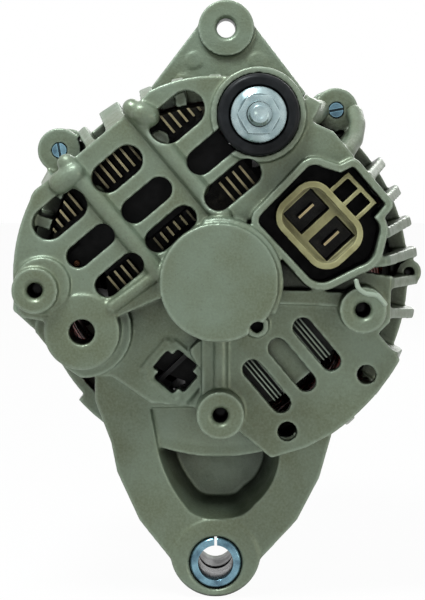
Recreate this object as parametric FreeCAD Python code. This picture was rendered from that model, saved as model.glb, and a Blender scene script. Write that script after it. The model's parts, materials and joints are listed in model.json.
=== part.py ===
import FreeCAD, Part
import math
import os

# Car alternator, millimetres. The rotor axis is the Y axis and +Z is up. The origin lies on the
# rotor axis in the belt plane. +Y points out of the pulley, so every station along the axis is
# given as its depth d behind the belt plane, and lies at y = -d.

V = FreeCAD.Vector
AXIS = V(0, -1, 0)

# ---- rotor, along the axis ----
PULLEY_WIDTH = 24.0
SPACER_LENGTH = 5.0
FRONT_BEARING_WIDTH = 14.0
COLLAR_LENGTH = 15.0
STACK_LENGTH = 32.0
POLE_OVERHANG = 7.0
POLE_THICKNESS = 12.0
FRONT_FAN_DEPTH = 8.5
REAR_FAN_DEPTH = 7.0
FAN_TO_RINGS = 1.5
SLIP_RING_WIDTH = 4.6
SLIP_RING_GAP = 0.8
INSULATOR_LIP = 0.8
RINGS_TO_BEARING = 10.9
REAR_BEARING_WIDTH = 10.0

# ---- rotor, radii ----
SHAFT_RADIUS = 8.5
SHAFT_THREAD_RADIUS = 8.0
SHAFT_END_RADIUS = 6.0
COLLAR_RADIUS = 12.0
SPACER_RADIUS = 12.5
POLE_BORE_RADIUS = 9.5
CORE_RADIUS = 20.0
ROTOR_RADIUS = 44.0
POLE_COUNT = 6
CLAW_ROOT_HALF_ANGLE = 15.0
CLAW_TIP_HALF_ANGLE = 6.5
CLAW_TIP_THICKNESS = 3.5
COIL_RADIUS = 32.5
BOBBIN_WALL = 1.4
SLIP_RING_RADIUS = 7.4
SLIP_RING_WALL = 0.8
FAN_TO_WINDING = 4.5
FAN_HUB_RADIUS = 25.0
FAN_SHEET = 1.5
FAN_BLADES = 10

# ---- bearings ----
FRONT_BEARING_RADIUS = 23.5
FRONT_BALL_RADIUS = 4.36
REAR_BEARING_RADIUS = 16.0
REAR_BALL_RADIUS = 2.97
BALL_COUNT = 7
RACE_WALL_SHARE = 0.275
SHIELD_SHEET = 0.7

# ---- pulley ----
PULLEY_RADIUS = 30.0
GROOVE_COUNT = 5
GROOVE_PITCH = 3.56
GROOVE_DEPTH = 2.9
PULLEY_HUB_RADIUS = 14.0
PULLEY_HUB_RECESS = 8.0
PULLEY_WASHER = 2.5
PULLEY_NUT_HEIGHT = 9.5
PULLEY_NUT_FLATS = 24.0

# ---- stator ----
AIR_GAP = 0.4
STATOR_RADIUS = 61.0
SLOT_COUNT = 36
SLOT_WIDTH = 3.2
SLOT_DEPTH = 11.5
WINDING_OVERHANG = 16.0
WINDING_ABOVE_BORE = 2.1
WINDING_BEYOND_SLOTS = 1.6

# ---- clearances ----
BALL_CLEARANCE = 0.05
RUNNING_CLEARANCE = 0.02
SEAT_CLEARANCE = 0.05
PART_CLEARANCE = 0.5
SCREW_CLEARANCE = 0.1

# ---- brackets, shared ----
FLANGE_RADIUS = STATOR_RADIUS + 3.2
FLANGE_INNER = STATOR_RADIUS - 3.0
FLANGE_THICKNESS = 7.0
REGISTER_LENGTH = 4.0
REGISTER_RADIUS = STATOR_RADIUS + 2.9
RIB_REACH = STATOR_RADIUS + 6.4
BOLT_CIRCLE = STATOR_RADIUS + 7.0
BOLT_RADIUS = 2.4
BOLT_HEAD_RADIUS = 4.6
BOLT_HEAD_HEIGHT = 3.6
LUG_RADIUS = 7.4
LUG_RISE = 2.0
OPEN_BOLT_ANGLES = (142.0, 54.5)
BLIND_BOLT_ANGLES = (-114.5, -65.5)
BLIND_BOLT_GRIP = 12.0

# ---- front bracket ----
HUB_WALL = 5.5
HUB_LIP = 2.0
WEB_THICKNESS = 5.0
FRONT_WINDOWS = 10
SIDE_WINDOWS = 16
RETAINER_THICKNESS = 2.0
RETAINER_SCREW_RADIUS = 2.0
RETAINER_SCREWS = 4
EAR_X = 2.8
EAR_HEIGHT = 85.0
EAR_BOSS_RADIUS = 10.0
EAR_THREAD_RADIUS = 3.4
EAR_CHAMFER_RADIUS = 4.4
EAR_LENGTH = 18.0
EAR_BOSS_STEP = 2.0
EAR_PLATE = 9.0

# ---- rear bracket: height of each surface above the stator core's rear face ----
ARM_HEIGHT = 22.0
LOW_HEIGHT = 27.0
LOUVRE_HEIGHT = 33.0
GRID_HEIGHT = 39.0
BOSS_HEIGHT = 43.0
BOX_HEIGHT = 45.0
ARM_WALL = 2.5
LOW_WALL = 6.0
LOUVRE_WALL = 4.0
GRID_WALL = 5.0
CAP_WALL = 2.5
CAP_SIDE_WALL = 3.0
CAP_ROOM = 0.5
GRID_ANGLE = 40.0
BRUSH_ANGLE = -50.0

# ---- foot and its sliding bush ----
FOOT_X = -1.0
FOOT_DROP = 96.0
FOOT_LENGTH = 42.0
FOOT_TOE = 11.5
FOOT_RING_RADIUS = 14.8
BUSH_OUTER_RADIUS = 8.7
BUSH_INNER_RADIUS = 5.9
BUSH_LENGTH = 19.0
BUSH_TRAVEL = 3.0
BUSH_SLIT = 0.9
FOOT_BOLT_RADIUS = 6.1
POCKET_FLOOR = 5.0
POCKET_DRAFT = 5.0
POCKET_WALL = 2.5
POCKET_SKIN = 1.5

# ---- output stud ----
STUD_X = 12.7
STUD_Z = 53.4
STUD_RADIUS = 4.0
STUD_THREAD_RADIUS = 3.6
STUD_REACH = 16.0
STUD_HEAD_HEIGHT = 1.6
STUD_HEAD_RADIUS = 5.8
INSULATOR_RADIUS = 13.1
INSULATOR_NECK_RADIUS = 7.2
INSULATOR_HEIGHT = 6.0
INSULATOR_SINK = 1.0
NUT_RECESS = 1.2
NUT_FLANGE_RADIUS = 8.95
NUT_FLANGE = 2.0
NUT_FLATS = 12.0
NUT_HEIGHT = 9.0

# ---- rectifier ----
SINK_SHEET = 3.0
SINK_ABOVE_WINDING = 2.0
DIODE_RADIUS = 3.6
DIODE_HEIGHT = 2.6
TERMINAL_SHEET = 2.2
FIN_PITCH = 2.8
FIN_SHEET = 0.7
FIN_GAP = 1.5
LEAD_RADIUS = 0.9
SINK_SCREW_RADIUS = 2.0
SINK_SCREW_HEAD = 3.6
SINK_POST_RADIUS = 3.4
SINK_POSTS_V = (47.0, 27.0)
DIODES_U = (-23.5, 0.5, 24.0)
POSITIVE_DIODE_V = 40.6
NEGATIVE_DIODE_V = 27.9
LEADS_U = (-38.5, -35.6, -32.7)
LEADS_V = 33.7

# ---- brushes and their holder ----
BRUSH_AXIAL = 4.0
BRUSH_ACROSS = 6.0
BRUSH_LENGTH = 13.0
SPRING_LENGTH = 12.0
SPRING_WIRE = 0.35
SPRING_COIL_RADIUS = 1.7
SPRING_TURNS = 7
HOLDER_INNER = 9.5
HOLDER_SIDE = 3.0
HOLDER_END_WALL = 2.0
HOLDER_SKIN = 0.9
CHANNEL_CLEARANCE = 0.1

# ---- regulator, its heat sink and the plug socket ----
SOCKET_X = 32.3
SOCKET_Z = 18.0
SOCKET_ANGLE = -47.0
SOCKET_LONG = 27.7
SOCKET_SHORT = 20.5
SOCKET_CORNER = 7.0
SOCKET_WALL = 2.0
SOCKET_LENGTH = 17.0
SOCKET_PARTITION = 3.0
SOCKET_RECESS = 4.0
SOCKET_FLOOR = 2.0
PORT_LONG = 9.0
PORT_SHORT = 12.4
GUARD_REACH = 18.4
GUARD_CENTRE = 0.5
GUARD_HALF = 6.8
GUARD_DEPTH = 10.0
GUARD_BAR = 1.4
BLADE_WIDTH = 6.5
BLADE_SHEET = 0.8
BLADE_LENGTH = 10.0
MODULE_HEIGHT = 6.0
BOX_WALL = 2.4
MODULE_LEDGE = 1.5
MODULE_RADIUS = 55.5

# ---- regulator heat sink, in the brush axes ----
WING_POSTS = (-17.4, 17.4)
WING_POST_OUT = 38.0
WING_SCREW_RADIUS = 1.6
WING_HALF = 20.3
WING_INNER = 26.5
WING_OUTER = 43.0
WING_SHEET = 1.6
WING_ABOVE_WINDING = 4.0

# ---- stations along the axis ----
PULLEY_FRONT = -PULLEY_WIDTH / 2
PULLEY_REAR = PULLEY_WIDTH / 2
FRONT_BEARING = PULLEY_REAR + SPACER_LENGTH
FRONT_BEARING_END = FRONT_BEARING + FRONT_BEARING_WIDTH
POLES_FRONT = FRONT_BEARING_END + COLLAR_LENGTH
STACK_FRONT = POLES_FRONT + POLE_OVERHANG
STACK_REAR = STACK_FRONT + STACK_LENGTH
POLES_REAR = STACK_REAR + POLE_OVERHANG
POLES_MIDDLE = (POLES_FRONT + POLES_REAR) / 2
FAN_END = POLES_REAR + REAR_FAN_DEPTH
RINGS_FRONT = FAN_END + FAN_TO_RINGS
RING_1 = RINGS_FRONT + INSULATOR_LIP
RING_2 = RING_1 + SLIP_RING_WIDTH + SLIP_RING_GAP
RINGS_REAR = RING_2 + SLIP_RING_WIDTH + INSULATOR_LIP
REAR_BEARING = RINGS_REAR + RINGS_TO_BEARING
REAR_BEARING_END = REAR_BEARING + REAR_BEARING_WIDTH
FLANGE_END = STACK_REAR + FLANGE_THICKNESS
WINDING_REAR = STACK_REAR + WINDING_OVERHANG
WINDING_FRONT = STACK_FRONT - WINDING_OVERHANG + 1.0
ARM_LEVEL = STACK_REAR + ARM_HEIGHT
LOW_LEVEL = STACK_REAR + LOW_HEIGHT
LOUVRE_LEVEL = STACK_REAR + LOUVRE_HEIGHT
GRID_LEVEL = STACK_REAR + GRID_HEIGHT
BOSS_LEVEL = STACK_REAR + BOSS_HEIGHT
BOX_LEVEL = STACK_REAR + BOX_HEIGHT
CAP_LEVEL = REAR_BEARING_END + CAP_ROOM + CAP_WALL
CAP_RADIUS = REAR_BEARING_RADIUS + CAP_SIDE_WALL
STATOR_BORE = ROTOR_RADIUS + AIR_GAP
WINDING_INNER = STATOR_BORE + WINDING_ABOVE_BORE
FAN_RADIUS = WINDING_INNER - FAN_TO_WINDING
WINDING_OUTER = STATOR_BORE + SLOT_DEPTH + WINDING_BEYOND_SLOTS
GRID_UNDER = GRID_LEVEL - GRID_WALL
LOUVRE_UNDER = LOUVRE_LEVEL - LOUVRE_WALL
SINK_FRONT = WINDING_REAR + SINK_ABOVE_WINDING
SINK_REAR = SINK_FRONT + SINK_SHEET
MODULE_REAR = SINK_REAR + MODULE_HEIGHT - 1.0
MODULE_FRONT = MODULE_REAR - MODULE_HEIGHT
HUB_RADIUS = FRONT_BEARING_RADIUS + HUB_WALL
BRUSH_INNER = SLIP_RING_RADIUS + RUNNING_CLEARANCE
BRUSH_OUTER = BRUSH_INNER + BRUSH_LENGTH
SPRING_OUTER = BRUSH_OUTER + SPRING_LENGTH
HOLDER_OUTER = SPRING_OUTER + HOLDER_END_WALL
HOLDER_HALF = BRUSH_ACROSS / 2 + CHANNEL_CLEARANCE + HOLDER_SIDE
BRUSH_STATIONS = (RING_1 + SLIP_RING_WIDTH / 2, RING_2 + SLIP_RING_WIDTH / 2)
HOLDER_FRONT = BRUSH_STATIONS[0] - BRUSH_AXIAL / 2 - CHANNEL_CLEARANCE - HOLDER_SKIN
HOLDER_REAR = BRUSH_STATIONS[1] + BRUSH_AXIAL / 2 + CHANNEL_CLEARANCE + HOLDER_SKIN
WING_PLATEAU = HOLDER_HALF + 0.2 + WING_SHEET
WING_FRONT = WINDING_REAR + WING_ABOVE_WINDING
WING_REAR = WING_FRONT + WING_SHEET
EAR_REAR = STACK_FRONT - 1.0


# ---- building blocks ----
def at(x, z, d):
    return V(x, -d, z)


def polar(radius, angle):
    turn_by = math.radians(angle)
    return radius * math.cos(turn_by), radius * math.sin(turn_by)


def spun(shape, angle):
    # turns a shape about the rotor axis, from +X towards +Z
    turned_shape = shape.copy()
    turned_shape.rotate(V(0, 0, 0), AXIS, angle)
    return turned_shape


def disc(radius, d0, d1, x=0.0, z=0.0):
    return Part.makeCylinder(radius, d1 - d0, at(x, z, d1), V(0, 1, 0))


def ring(outer, inner, d0, d1, x=0.0, z=0.0):
    return disc(outer, d0, d1, x, z).cut(disc(inner, d0 - 1, d1 + 1, x, z))


def cone(radius_0, radius_1, d0, d1, x=0.0, z=0.0):
    # radius_0 at depth d0, radius_1 at depth d1
    return Part.makeCone(radius_1, radius_0, d1 - d0, at(x, z, d1), V(0, 1, 0))


def turned(profile):
    # a solid of revolution from (radius, depth) corners
    corners = [V(radius, -d, 0) for radius, d in profile]
    face = Part.Face(Part.makePolygon(corners + corners[:1]))
    return face.revolve(V(0, 0, 0), V(0, 1, 0), 360)


def outline_wire(outline, d):
    # corners are (x, z); a pair of corners is an arc through the first to the second
    here = at(*outline[0], d)
    edges = []
    for step in outline[1:] + outline[:1]:
        if isinstance(step[0], tuple):
            middle = at(*step[0], d)
            end = at(*step[1], d)
            edges.append(Part.Arc(here, middle, end).toShape())
        else:
            end = at(*step, d)
            edges.append(Part.LineSegment(here, end).toShape())
        here = end
    return Part.Wire(edges)


def prism(outline, d0, d1):
    return Part.Face(outline_wire(outline, d1)).extrude(V(0, d1 - d0, 0))


def local_box(a0, a1, b0, b1, d0, d1, angle):
    # a runs along the given angle, b runs square to it
    return spun(Part.makeBox(a1 - a0, d1 - d0, b1 - b0, V(a0, -d1, b0)), angle)


def local_point(a, b, angle):
    turn_by = math.radians(angle)
    x = a * math.cos(turn_by) - b * math.sin(turn_by)
    z = a * math.sin(turn_by) + b * math.cos(turn_by)
    return x, z


def stadium(x, z, angle, half, radius, d0, d1):
    # a round-ended bar; half is half the distance between the end centres
    ends = [local_point(side * half, 0, angle) for side in (-1, 1)]
    bar = Part.makeBox(2 * half, d1 - d0, 2 * radius, V(-half, -d1, -radius))
    bar = spun(bar, angle)
    bar.translate(V(x, 0, z))
    caps = [disc(radius, d0, d1, x + ex, z + ez) for ex, ez in ends]
    return bar.multiFuse(caps).removeSplitter()


def bar_between(p, q, width, d0, d1):
    dx, dz = q[0] - p[0], q[1] - p[1]
    angle = math.degrees(math.atan2(dz, dx))
    middle_x, middle_z = (p[0] + q[0]) / 2, (p[1] + q[1]) / 2
    return stadium(middle_x, middle_z, angle, math.hypot(dx, dz) / 2, width / 2, d0, d1)


def log_rib(p, q, radius, d):
    # a half-round rib lying on a surface at depth d
    start, end = at(*p, d), at(*q, d)
    body = Part.makeCylinder(radius, (end - start).Length, start, end - start)
    return body.multiFuse([Part.makeSphere(radius, start), Part.makeSphere(radius, end)])


def hexagon(flats, d0, d1, x=0.0, z=0.0):
    reach = flats / math.sqrt(3)
    corners = []
    for step in range(6):
        cx, cz = polar(reach, 60 * step)
        corners.append((x + cx, z + cz))
    return prism(corners, d0, d1)


def hex_nut(flats, d0, d1, x=0.0, z=0.0):
    # hexagon with its outer corners turned off at the depth d1 end
    reach = flats / math.sqrt(3)
    turned_off = cone(reach + (d1 - d0) * 1.7, reach * 0.93, d0, d1, x, z)
    return hexagon(flats, d0, d1, x, z).common(turned_off)


def joined(shapes):
    return shapes[0].multiFuse(shapes[1:])


def fused(shapes):
    return joined(shapes).removeSplitter()


def less(shape, tools):
    return shape.cut(tools)


def all_round(shape, count, first=0.0):
    return [spun(shape, first + 360.0 / count * step) for step in range(count)]


NODES = {}


def keep(name, *solids):
    NODES[name] = solids[0] if len(solids) == 1 else Part.makeCompound(list(solids))


# ---- shaft and poles ----
def make_shaft():
    nut_face = PULLEY_FRONT + PULLEY_HUB_RECESS
    front_end = nut_face - PULLEY_WASHER - PULLEY_NUT_HEIGHT - 2.0
    rear_end = REAR_BEARING_END - 0.3
    rings_shoulder = FAN_END
    profile = [
        (0, front_end),
        (SHAFT_THREAD_RADIUS - 1, front_end),
        (SHAFT_THREAD_RADIUS, front_end + 1),
        (SHAFT_THREAD_RADIUS, nut_face - PULLEY_WASHER),
        (SHAFT_RADIUS, nut_face - PULLEY_WASHER),
        (SHAFT_RADIUS, FRONT_BEARING_END),
        (COLLAR_RADIUS, FRONT_BEARING_END),
        (COLLAR_RADIUS, POLES_FRONT),
        (POLE_BORE_RADIUS, POLES_FRONT),
        (POLE_BORE_RADIUS, rings_shoulder),
        (SHAFT_END_RADIUS, rings_shoulder),
        (SHAFT_END_RADIUS, rear_end - 0.8),
        (SHAFT_END_RADIUS - 0.8, rear_end),
        (0, rear_end),
    ]
    socket = hexagon(8.0, front_end - 1, front_end + 6)
    keep("rotor_shaft", turned(profile).cut(socket))


def make_front_pole():
    depth = POLES_FRONT + POLE_THICKNESS
    tip = POLES_REAR - 4.0
    claw_profile = [
        (CORE_RADIUS + 6, POLES_FRONT),
        (ROTOR_RADIUS - 2, POLES_FRONT),
        (ROTOR_RADIUS, POLES_FRONT + 2),
        (ROTOR_RADIUS, tip),
        (ROTOR_RADIUS - CLAW_TIP_THICKNESS, tip),
        (COIL_RADIUS + 2, depth),
        (CORE_RADIUS + 6, depth),
    ]
    root = ROTOR_RADIUS * math.sin(math.radians(CLAW_ROOT_HALF_ANGLE))
    point = ROTOR_RADIUS * math.sin(math.radians(CLAW_TIP_HALF_ANGLE))
    corners = [
        V(0, -POLES_FRONT, -root),
        V(0, -POLES_FRONT, root),
        V(0, -tip, point),
        V(0, -tip, -point),
    ]
    wedge = Part.Face(Part.makePolygon(corners + corners[:1])).extrude(V(ROTOR_RADIUS + 1, 0, 0))
    claw = turned(claw_profile).common(wedge)
    plate = disc(CORE_RADIUS + 8, POLES_FRONT, depth)
    core = disc(CORE_RADIUS, POLES_FRONT, POLES_MIDDLE)
    pole = fused([plate, core] + all_round(claw, POLE_COUNT))
    return pole.cut(disc(POLE_BORE_RADIUS, POLES_FRONT - 1, POLES_REAR))


def make_poles():
    front = make_front_pole()
    rear = front.mirror(V(0, -POLES_MIDDLE, 0), V(0, 1, 0))
    keep("front_claw_pole", front)
    keep("rear_claw_pole", spun(rear, 180.0 / POLE_COUNT))


def make_field_coil():
    d0 = POLES_FRONT + POLE_THICKNESS + 0.2
    d1 = POLES_REAR - POLE_THICKNESS - 0.2
    bore = CORE_RADIUS + SEAT_CLEARANCE
    tube_radius = bore + BOBBIN_WALL
    bobbin = fused([
        disc(tube_radius, d0, d1),
        disc(COIL_RADIUS + 0.5, d0, d0 + BOBBIN_WALL),
        disc(COIL_RADIUS + 0.5, d1 - BOBBIN_WALL, d1),
    ])
    keep("coil_bobbin", bobbin.cut(disc(bore, d0 - 1, d1 + 1)))
    keep("field_coil", ring(COIL_RADIUS, tube_radius, d0 + BOBBIN_WALL, d1 - BOBBIN_WALL))


def fan_blades(d0, d1, lean):
    # forward-leaning blades bent up from the fan disc
    length = FAN_RADIUS - FAN_HUB_RADIUS + 3
    blade = Part.makeBox(length, d1 - d0, FAN_SHEET, V(0, -d1, -FAN_SHEET / 2))
    blade.rotate(V(0, 0, 0), AXIS, lean)
    blade.translate(V(FAN_HUB_RADIUS, 0, 0))
    rim = disc(FAN_RADIUS, d0, d1)
    return [wing.common(rim) for wing in all_round(blade, FAN_BLADES)]


def make_fans():
    front_d = POLES_FRONT - FRONT_FAN_DEPTH
    front = [ring(FAN_RADIUS - 4, COLLAR_RADIUS + SEAT_CLEARANCE, POLES_FRONT - FAN_SHEET, POLES_FRONT)]
    front += fan_blades(front_d, POLES_FRONT, 28.0)
    keep("front_fan", fused(front))
    rear = [ring(FAN_RADIUS - 4, POLE_BORE_RADIUS, POLES_REAR, POLES_REAR + FAN_SHEET)]
    rear += fan_blades(POLES_REAR, FAN_END, -28.0)
    keep("rear_fan", fused(rear))


def make_slip_rings():
    core = SLIP_RING_RADIUS - SLIP_RING_WALL
    body = disc(core, FAN_END, RINGS_REAR)
    lips = [
        disc(SLIP_RING_RADIUS, FAN_END, RING_1),
        disc(SLIP_RING_RADIUS, RING_1 + SLIP_RING_WIDTH, RING_2),
        disc(SLIP_RING_RADIUS, RING_2 + SLIP_RING_WIDTH, RINGS_REAR),
    ]
    insulator = fused([body] + lips).cut(disc(SHAFT_END_RADIUS, FAN_END - 1, RINGS_REAR + 1))
    keep("slip_ring_insulator", insulator)
    rings = [ring(SLIP_RING_RADIUS, core, d, d + SLIP_RING_WIDTH) for d in (RING_1, RING_2)]
    keep("slip_rings", *rings)


# ---- bearings ----
def make_bearing(name, bore, outer, ball_radius, d0, width):
    pitch = (bore + outer) / 2
    wall = (outer - bore) * RACE_WALL_SHARE
    middle = d0 + width / 2
    groove = Part.makeTorus(pitch, ball_radius + BALL_CLEARANCE, at(0, 0, middle), V(0, 1, 0))
    keep(name + "_inner_race", ring(bore + wall, bore, d0, d0 + width).cut(groove))
    keep(name + "_outer_race", ring(outer, outer - wall, d0, d0 + width).cut(groove))
    shield_outer = outer - wall
    shield_inner = bore + wall + 0.3
    front_shield = ring(shield_outer, shield_inner, d0 + 0.2, d0 + 0.2 + SHIELD_SHEET)
    rear_edge = d0 + width - 0.2
    rear_shield = ring(shield_outer, shield_inner, rear_edge - SHIELD_SHEET, rear_edge)
    keep(name + "_shields", front_shield, rear_shield)
    centre = at(pitch, 0, middle)
    balls = all_round(Part.makeSphere(ball_radius, centre), BALL_COUNT)
    pocket_start = at(pitch - 3, 0, middle)
    pocket = Part.makeCylinder(ball_radius + BALL_CLEARANCE, 6, pocket_start, V(1, 0, 0))
    half = ball_radius + 0.55
    cage = ring(pitch + 1.1, pitch - 1.1, middle - half, middle + half)
    keep(name + "_balls", *balls)
    keep(name + "_cage", less(cage, all_round(pocket, BALL_COUNT)))


# ---- pulley ----
def make_pulley():
    nut_face = PULLEY_FRONT + PULLEY_HUB_RECESS
    rim_inner = PULLEY_RADIUS - GROOVE_DEPTH - 3.2
    profile = [
        (SHAFT_RADIUS, nut_face),
        (PULLEY_HUB_RADIUS, nut_face),
        (PULLEY_HUB_RADIUS, 2.0),
        (rim_inner, 2.0),
        (rim_inner, PULLEY_FRONT),
        (PULLEY_RADIUS - 0.6, PULLEY_FRONT),
        (PULLEY_RADIUS, PULLEY_FRONT + 0.6),
    ]
    first = -GROOVE_PITCH * GROOVE_COUNT / 2
    for groove in range(GROOVE_COUNT):
        edge = first + GROOVE_PITCH * groove
        profile.append((PULLEY_RADIUS, edge + 0.3))
        profile.append((PULLEY_RADIUS - GROOVE_DEPTH, edge + GROOVE_PITCH / 2 - 0.35))
        profile.append((PULLEY_RADIUS - GROOVE_DEPTH, edge + GROOVE_PITCH / 2 + 0.35))
        profile.append((PULLEY_RADIUS, edge + GROOVE_PITCH - 0.3))
    profile += [
        (PULLEY_RADIUS, PULLEY_REAR - 0.6),
        (PULLEY_RADIUS - 0.6, PULLEY_REAR),
        (rim_inner, PULLEY_REAR),
        (rim_inner, 7.0),
        (PULLEY_HUB_RADIUS, 7.0),
        (PULLEY_HUB_RADIUS, PULLEY_REAR),
        (SHAFT_RADIUS, PULLEY_REAR),
    ]
    keep("pulley", turned(profile))
    washer_front = nut_face - PULLEY_WASHER
    keep("pulley_washer", ring(SHAFT_RADIUS + 4.4, SHAFT_RADIUS, washer_front, nut_face))
    nut_front = washer_front - PULLEY_NUT_HEIGHT
    reach = PULLEY_NUT_FLATS / math.sqrt(3)
    nut = hexagon(PULLEY_NUT_FLATS, nut_front, washer_front)
    nut = nut.common(cone(reach * 0.93, reach * 0.93 + PULLEY_NUT_HEIGHT * 1.7, nut_front, washer_front))
    keep("pulley_nut", nut.cut(disc(SHAFT_THREAD_RADIUS, nut_front - 1, washer_front + 1)))
    keep("pulley_spacer", ring(SPACER_RADIUS, SHAFT_RADIUS, PULLEY_REAR, FRONT_BEARING))


# ---- stator ----
def make_stator():
    bore = STATOR_BORE
    slot = local_box(bore - 1, bore + SLOT_DEPTH, -SLOT_WIDTH / 2, SLOT_WIDTH / 2,
                     STACK_FRONT - 1, STACK_REAR + 1, 0)
    core = ring(STATOR_RADIUS, bore, STACK_FRONT, STACK_REAR)
    keep("stator_core", less(core, all_round(slot, SLOT_COUNT)))
    half = SLOT_WIDTH / 2 - SEAT_CLEARANCE
    conductor = local_box(WINDING_INNER - 1, bore + SLOT_DEPTH - SEAT_CLEARANCE, -half, half,
                          WINDING_FRONT + 6, WINDING_REAR - 6, 0)
    coils = [
        ring(WINDING_OUTER, WINDING_INNER, WINDING_FRONT, STACK_FRONT - 4),
        ring(WINDING_OUTER, WINDING_INNER, STACK_REAR + 4, WINDING_REAR),
    ]
    keep("stator_winding", fused(coils + all_round(conductor, SLOT_COUNT)))


# ---- front bracket ----
def ear_outline():
    tip = EAR_HEIGHT
    return [
        (EAR_X - EAR_BOSS_RADIUS, tip + 1.0),
        ((EAR_X, tip + EAR_BOSS_RADIUS - 0.4), (EAR_X + EAR_BOSS_RADIUS, tip + 1.0)),
        (EAR_X + 28.5, tip - 23.0),
        (EAR_X + 24.0, tip - 31.0),
        (EAR_X - 22.0, tip - 31.0),
        (EAR_X - 28.0, tip - 22.5),
    ]


def make_front_bracket():
    hub_front = FRONT_BEARING - HUB_LIP
    web_front = FRONT_BEARING + 5.0
    rim_front = STACK_FRONT - 24.0
    shell = turned([
        (0, hub_front),
        (HUB_RADIUS - 1.5, hub_front),
        (HUB_RADIUS, hub_front + 1.5),
        (HUB_RADIUS + 1.5, web_front),
        (FLANGE_INNER - 3, rim_front),
        (FLANGE_RADIUS - 4, rim_front + 6),
        (FLANGE_RADIUS, rim_front + 14),
        (FLANGE_RADIUS, STACK_FRONT),
        (REGISTER_RADIUS, STACK_FRONT),
        (REGISTER_RADIUS, STACK_FRONT + REGISTER_LENGTH),
        (0, STACK_FRONT + REGISTER_LENGTH),
    ])
    ear = prism(ear_outline(), EAR_REAR - EAR_BOSS_STEP - EAR_PLATE, EAR_REAR - EAR_BOSS_STEP)
    boss = disc(EAR_BOSS_RADIUS, EAR_REAR - EAR_LENGTH, EAR_REAR, EAR_X, EAR_HEIGHT)
    strut = bar_between((EAR_X, EAR_HEIGHT), (EAR_X, FLANGE_INNER + 4), 8.0,
                        EAR_REAR - EAR_LENGTH + 2, EAR_REAR - EAR_BOSS_STEP)
    pieces = [shell, ear, boss, strut]
    ear_face = EAR_REAR - EAR_BOSS_STEP
    for x, z in EJECTOR_MARKS:
        pieces.append(disc(EJECTOR_RADIUS, ear_face - 1, ear_face + EJECTOR_RISE, x, z))
    for angle in OPEN_BOLT_ANGLES + BLIND_BOLT_ANGLES:
        x, z = polar(BOLT_CIRCLE, angle)
        pieces.append(disc(LUG_RADIUS, STACK_FRONT - 9, STACK_FRONT, x, z))
        pieces.append(bar_between((x, z), polar(FLANGE_INNER + 4, angle), 2 * LUG_RADIUS - 2,
                                  STACK_FRONT - 9, STACK_FRONT))
    bracket = fused(pieces)
    inside = turned([
        (0, FRONT_BEARING_END),
        (HUB_RADIUS, FRONT_BEARING_END),
        (HUB_RADIUS + 1.5, web_front + WEB_THICKNESS),
        (FLANGE_INNER - 4, rim_front + WEB_THICKNESS),
        (FLANGE_INNER, rim_front + 8),
        (FLANGE_INNER, STACK_FRONT),
        (STATOR_RADIUS + SEAT_CLEARANCE, STACK_FRONT),
        (STATOR_RADIUS + SEAT_CLEARANCE, STACK_FRONT + REGISTER_LENGTH + 1),
        (0, STACK_FRONT + REGISTER_LENGTH + 1),
    ])
    cuts = [
        inside,
        disc(FRONT_BEARING_RADIUS, FRONT_BEARING, FRONT_BEARING_END + 1),
        disc(SPACER_RADIUS + PART_CLEARANCE, hub_front - 1, FRONT_BEARING + 1),
        disc(EAR_THREAD_RADIUS, EAR_REAR - EAR_LENGTH - 1, EAR_REAR + 1, EAR_X, EAR_HEIGHT),
    ]
    chamfer = EAR_CHAMFER_RADIUS - EAR_THREAD_RADIUS
    cuts.append(cone(EAR_THREAD_RADIUS, EAR_CHAMFER_RADIUS, EAR_REAR - chamfer, EAR_REAR + 0.001,
                     EAR_X, EAR_HEIGHT))
    window = fused([
        local_box(HUB_RADIUS + 8, FLANGE_INNER - 8, -6.5, 6.5, web_front - 3, STACK_FRONT - 12, 0),
        disc(6.5, web_front - 3, STACK_FRONT - 12, FLANGE_INNER - 8),
        disc(4.5, web_front - 3, STACK_FRONT - 12, HUB_RADIUS + 8),
    ])
    cuts += all_round(window, FRONT_WINDOWS, 18.0)
    side = local_box(FLANGE_INNER - 6, FLANGE_RADIUS + 6, -5.5, 5.5, rim_front + 6.5, STACK_FRONT - 9, 0)
    clear_of = [90.0] + list(OPEN_BOLT_ANGLES + BLIND_BOLT_ANGLES)
    for step in range(SIDE_WINDOWS):
        angle = 360.0 / SIDE_WINDOWS * step
        apart = [abs((angle - other + 180) % 360 - 180) for other in clear_of]
        if apart[0] > 30 and min(apart) > 9:
            cuts.append(spun(side, angle))
    for angle in OPEN_BOLT_ANGLES + BLIND_BOLT_ANGLES:
        x, z = polar(BOLT_CIRCLE, angle)
        cuts.append(disc(BOLT_RADIUS + SCREW_CLEARANCE, STACK_FRONT - 20, STACK_FRONT + 1, x, z))
        cuts.append(disc(BOLT_HEAD_RADIUS + 1, STACK_FRONT - 20, STACK_FRONT - 9, x, z))
    for step in range(RETAINER_SCREWS):
        x, z = polar(retainer_circle(), 45 + 360.0 / RETAINER_SCREWS * step)
        cuts.append(disc(RETAINER_SCREW_RADIUS + SCREW_CLEARANCE, FRONT_BEARING_END - 9,
                         FRONT_BEARING_END + 1, x, z))
    keep("front_bracket", less(bracket, cuts))


def retainer_circle():
    return (FRONT_BEARING_RADIUS + HUB_RADIUS) / 2 + 0.1


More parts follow.
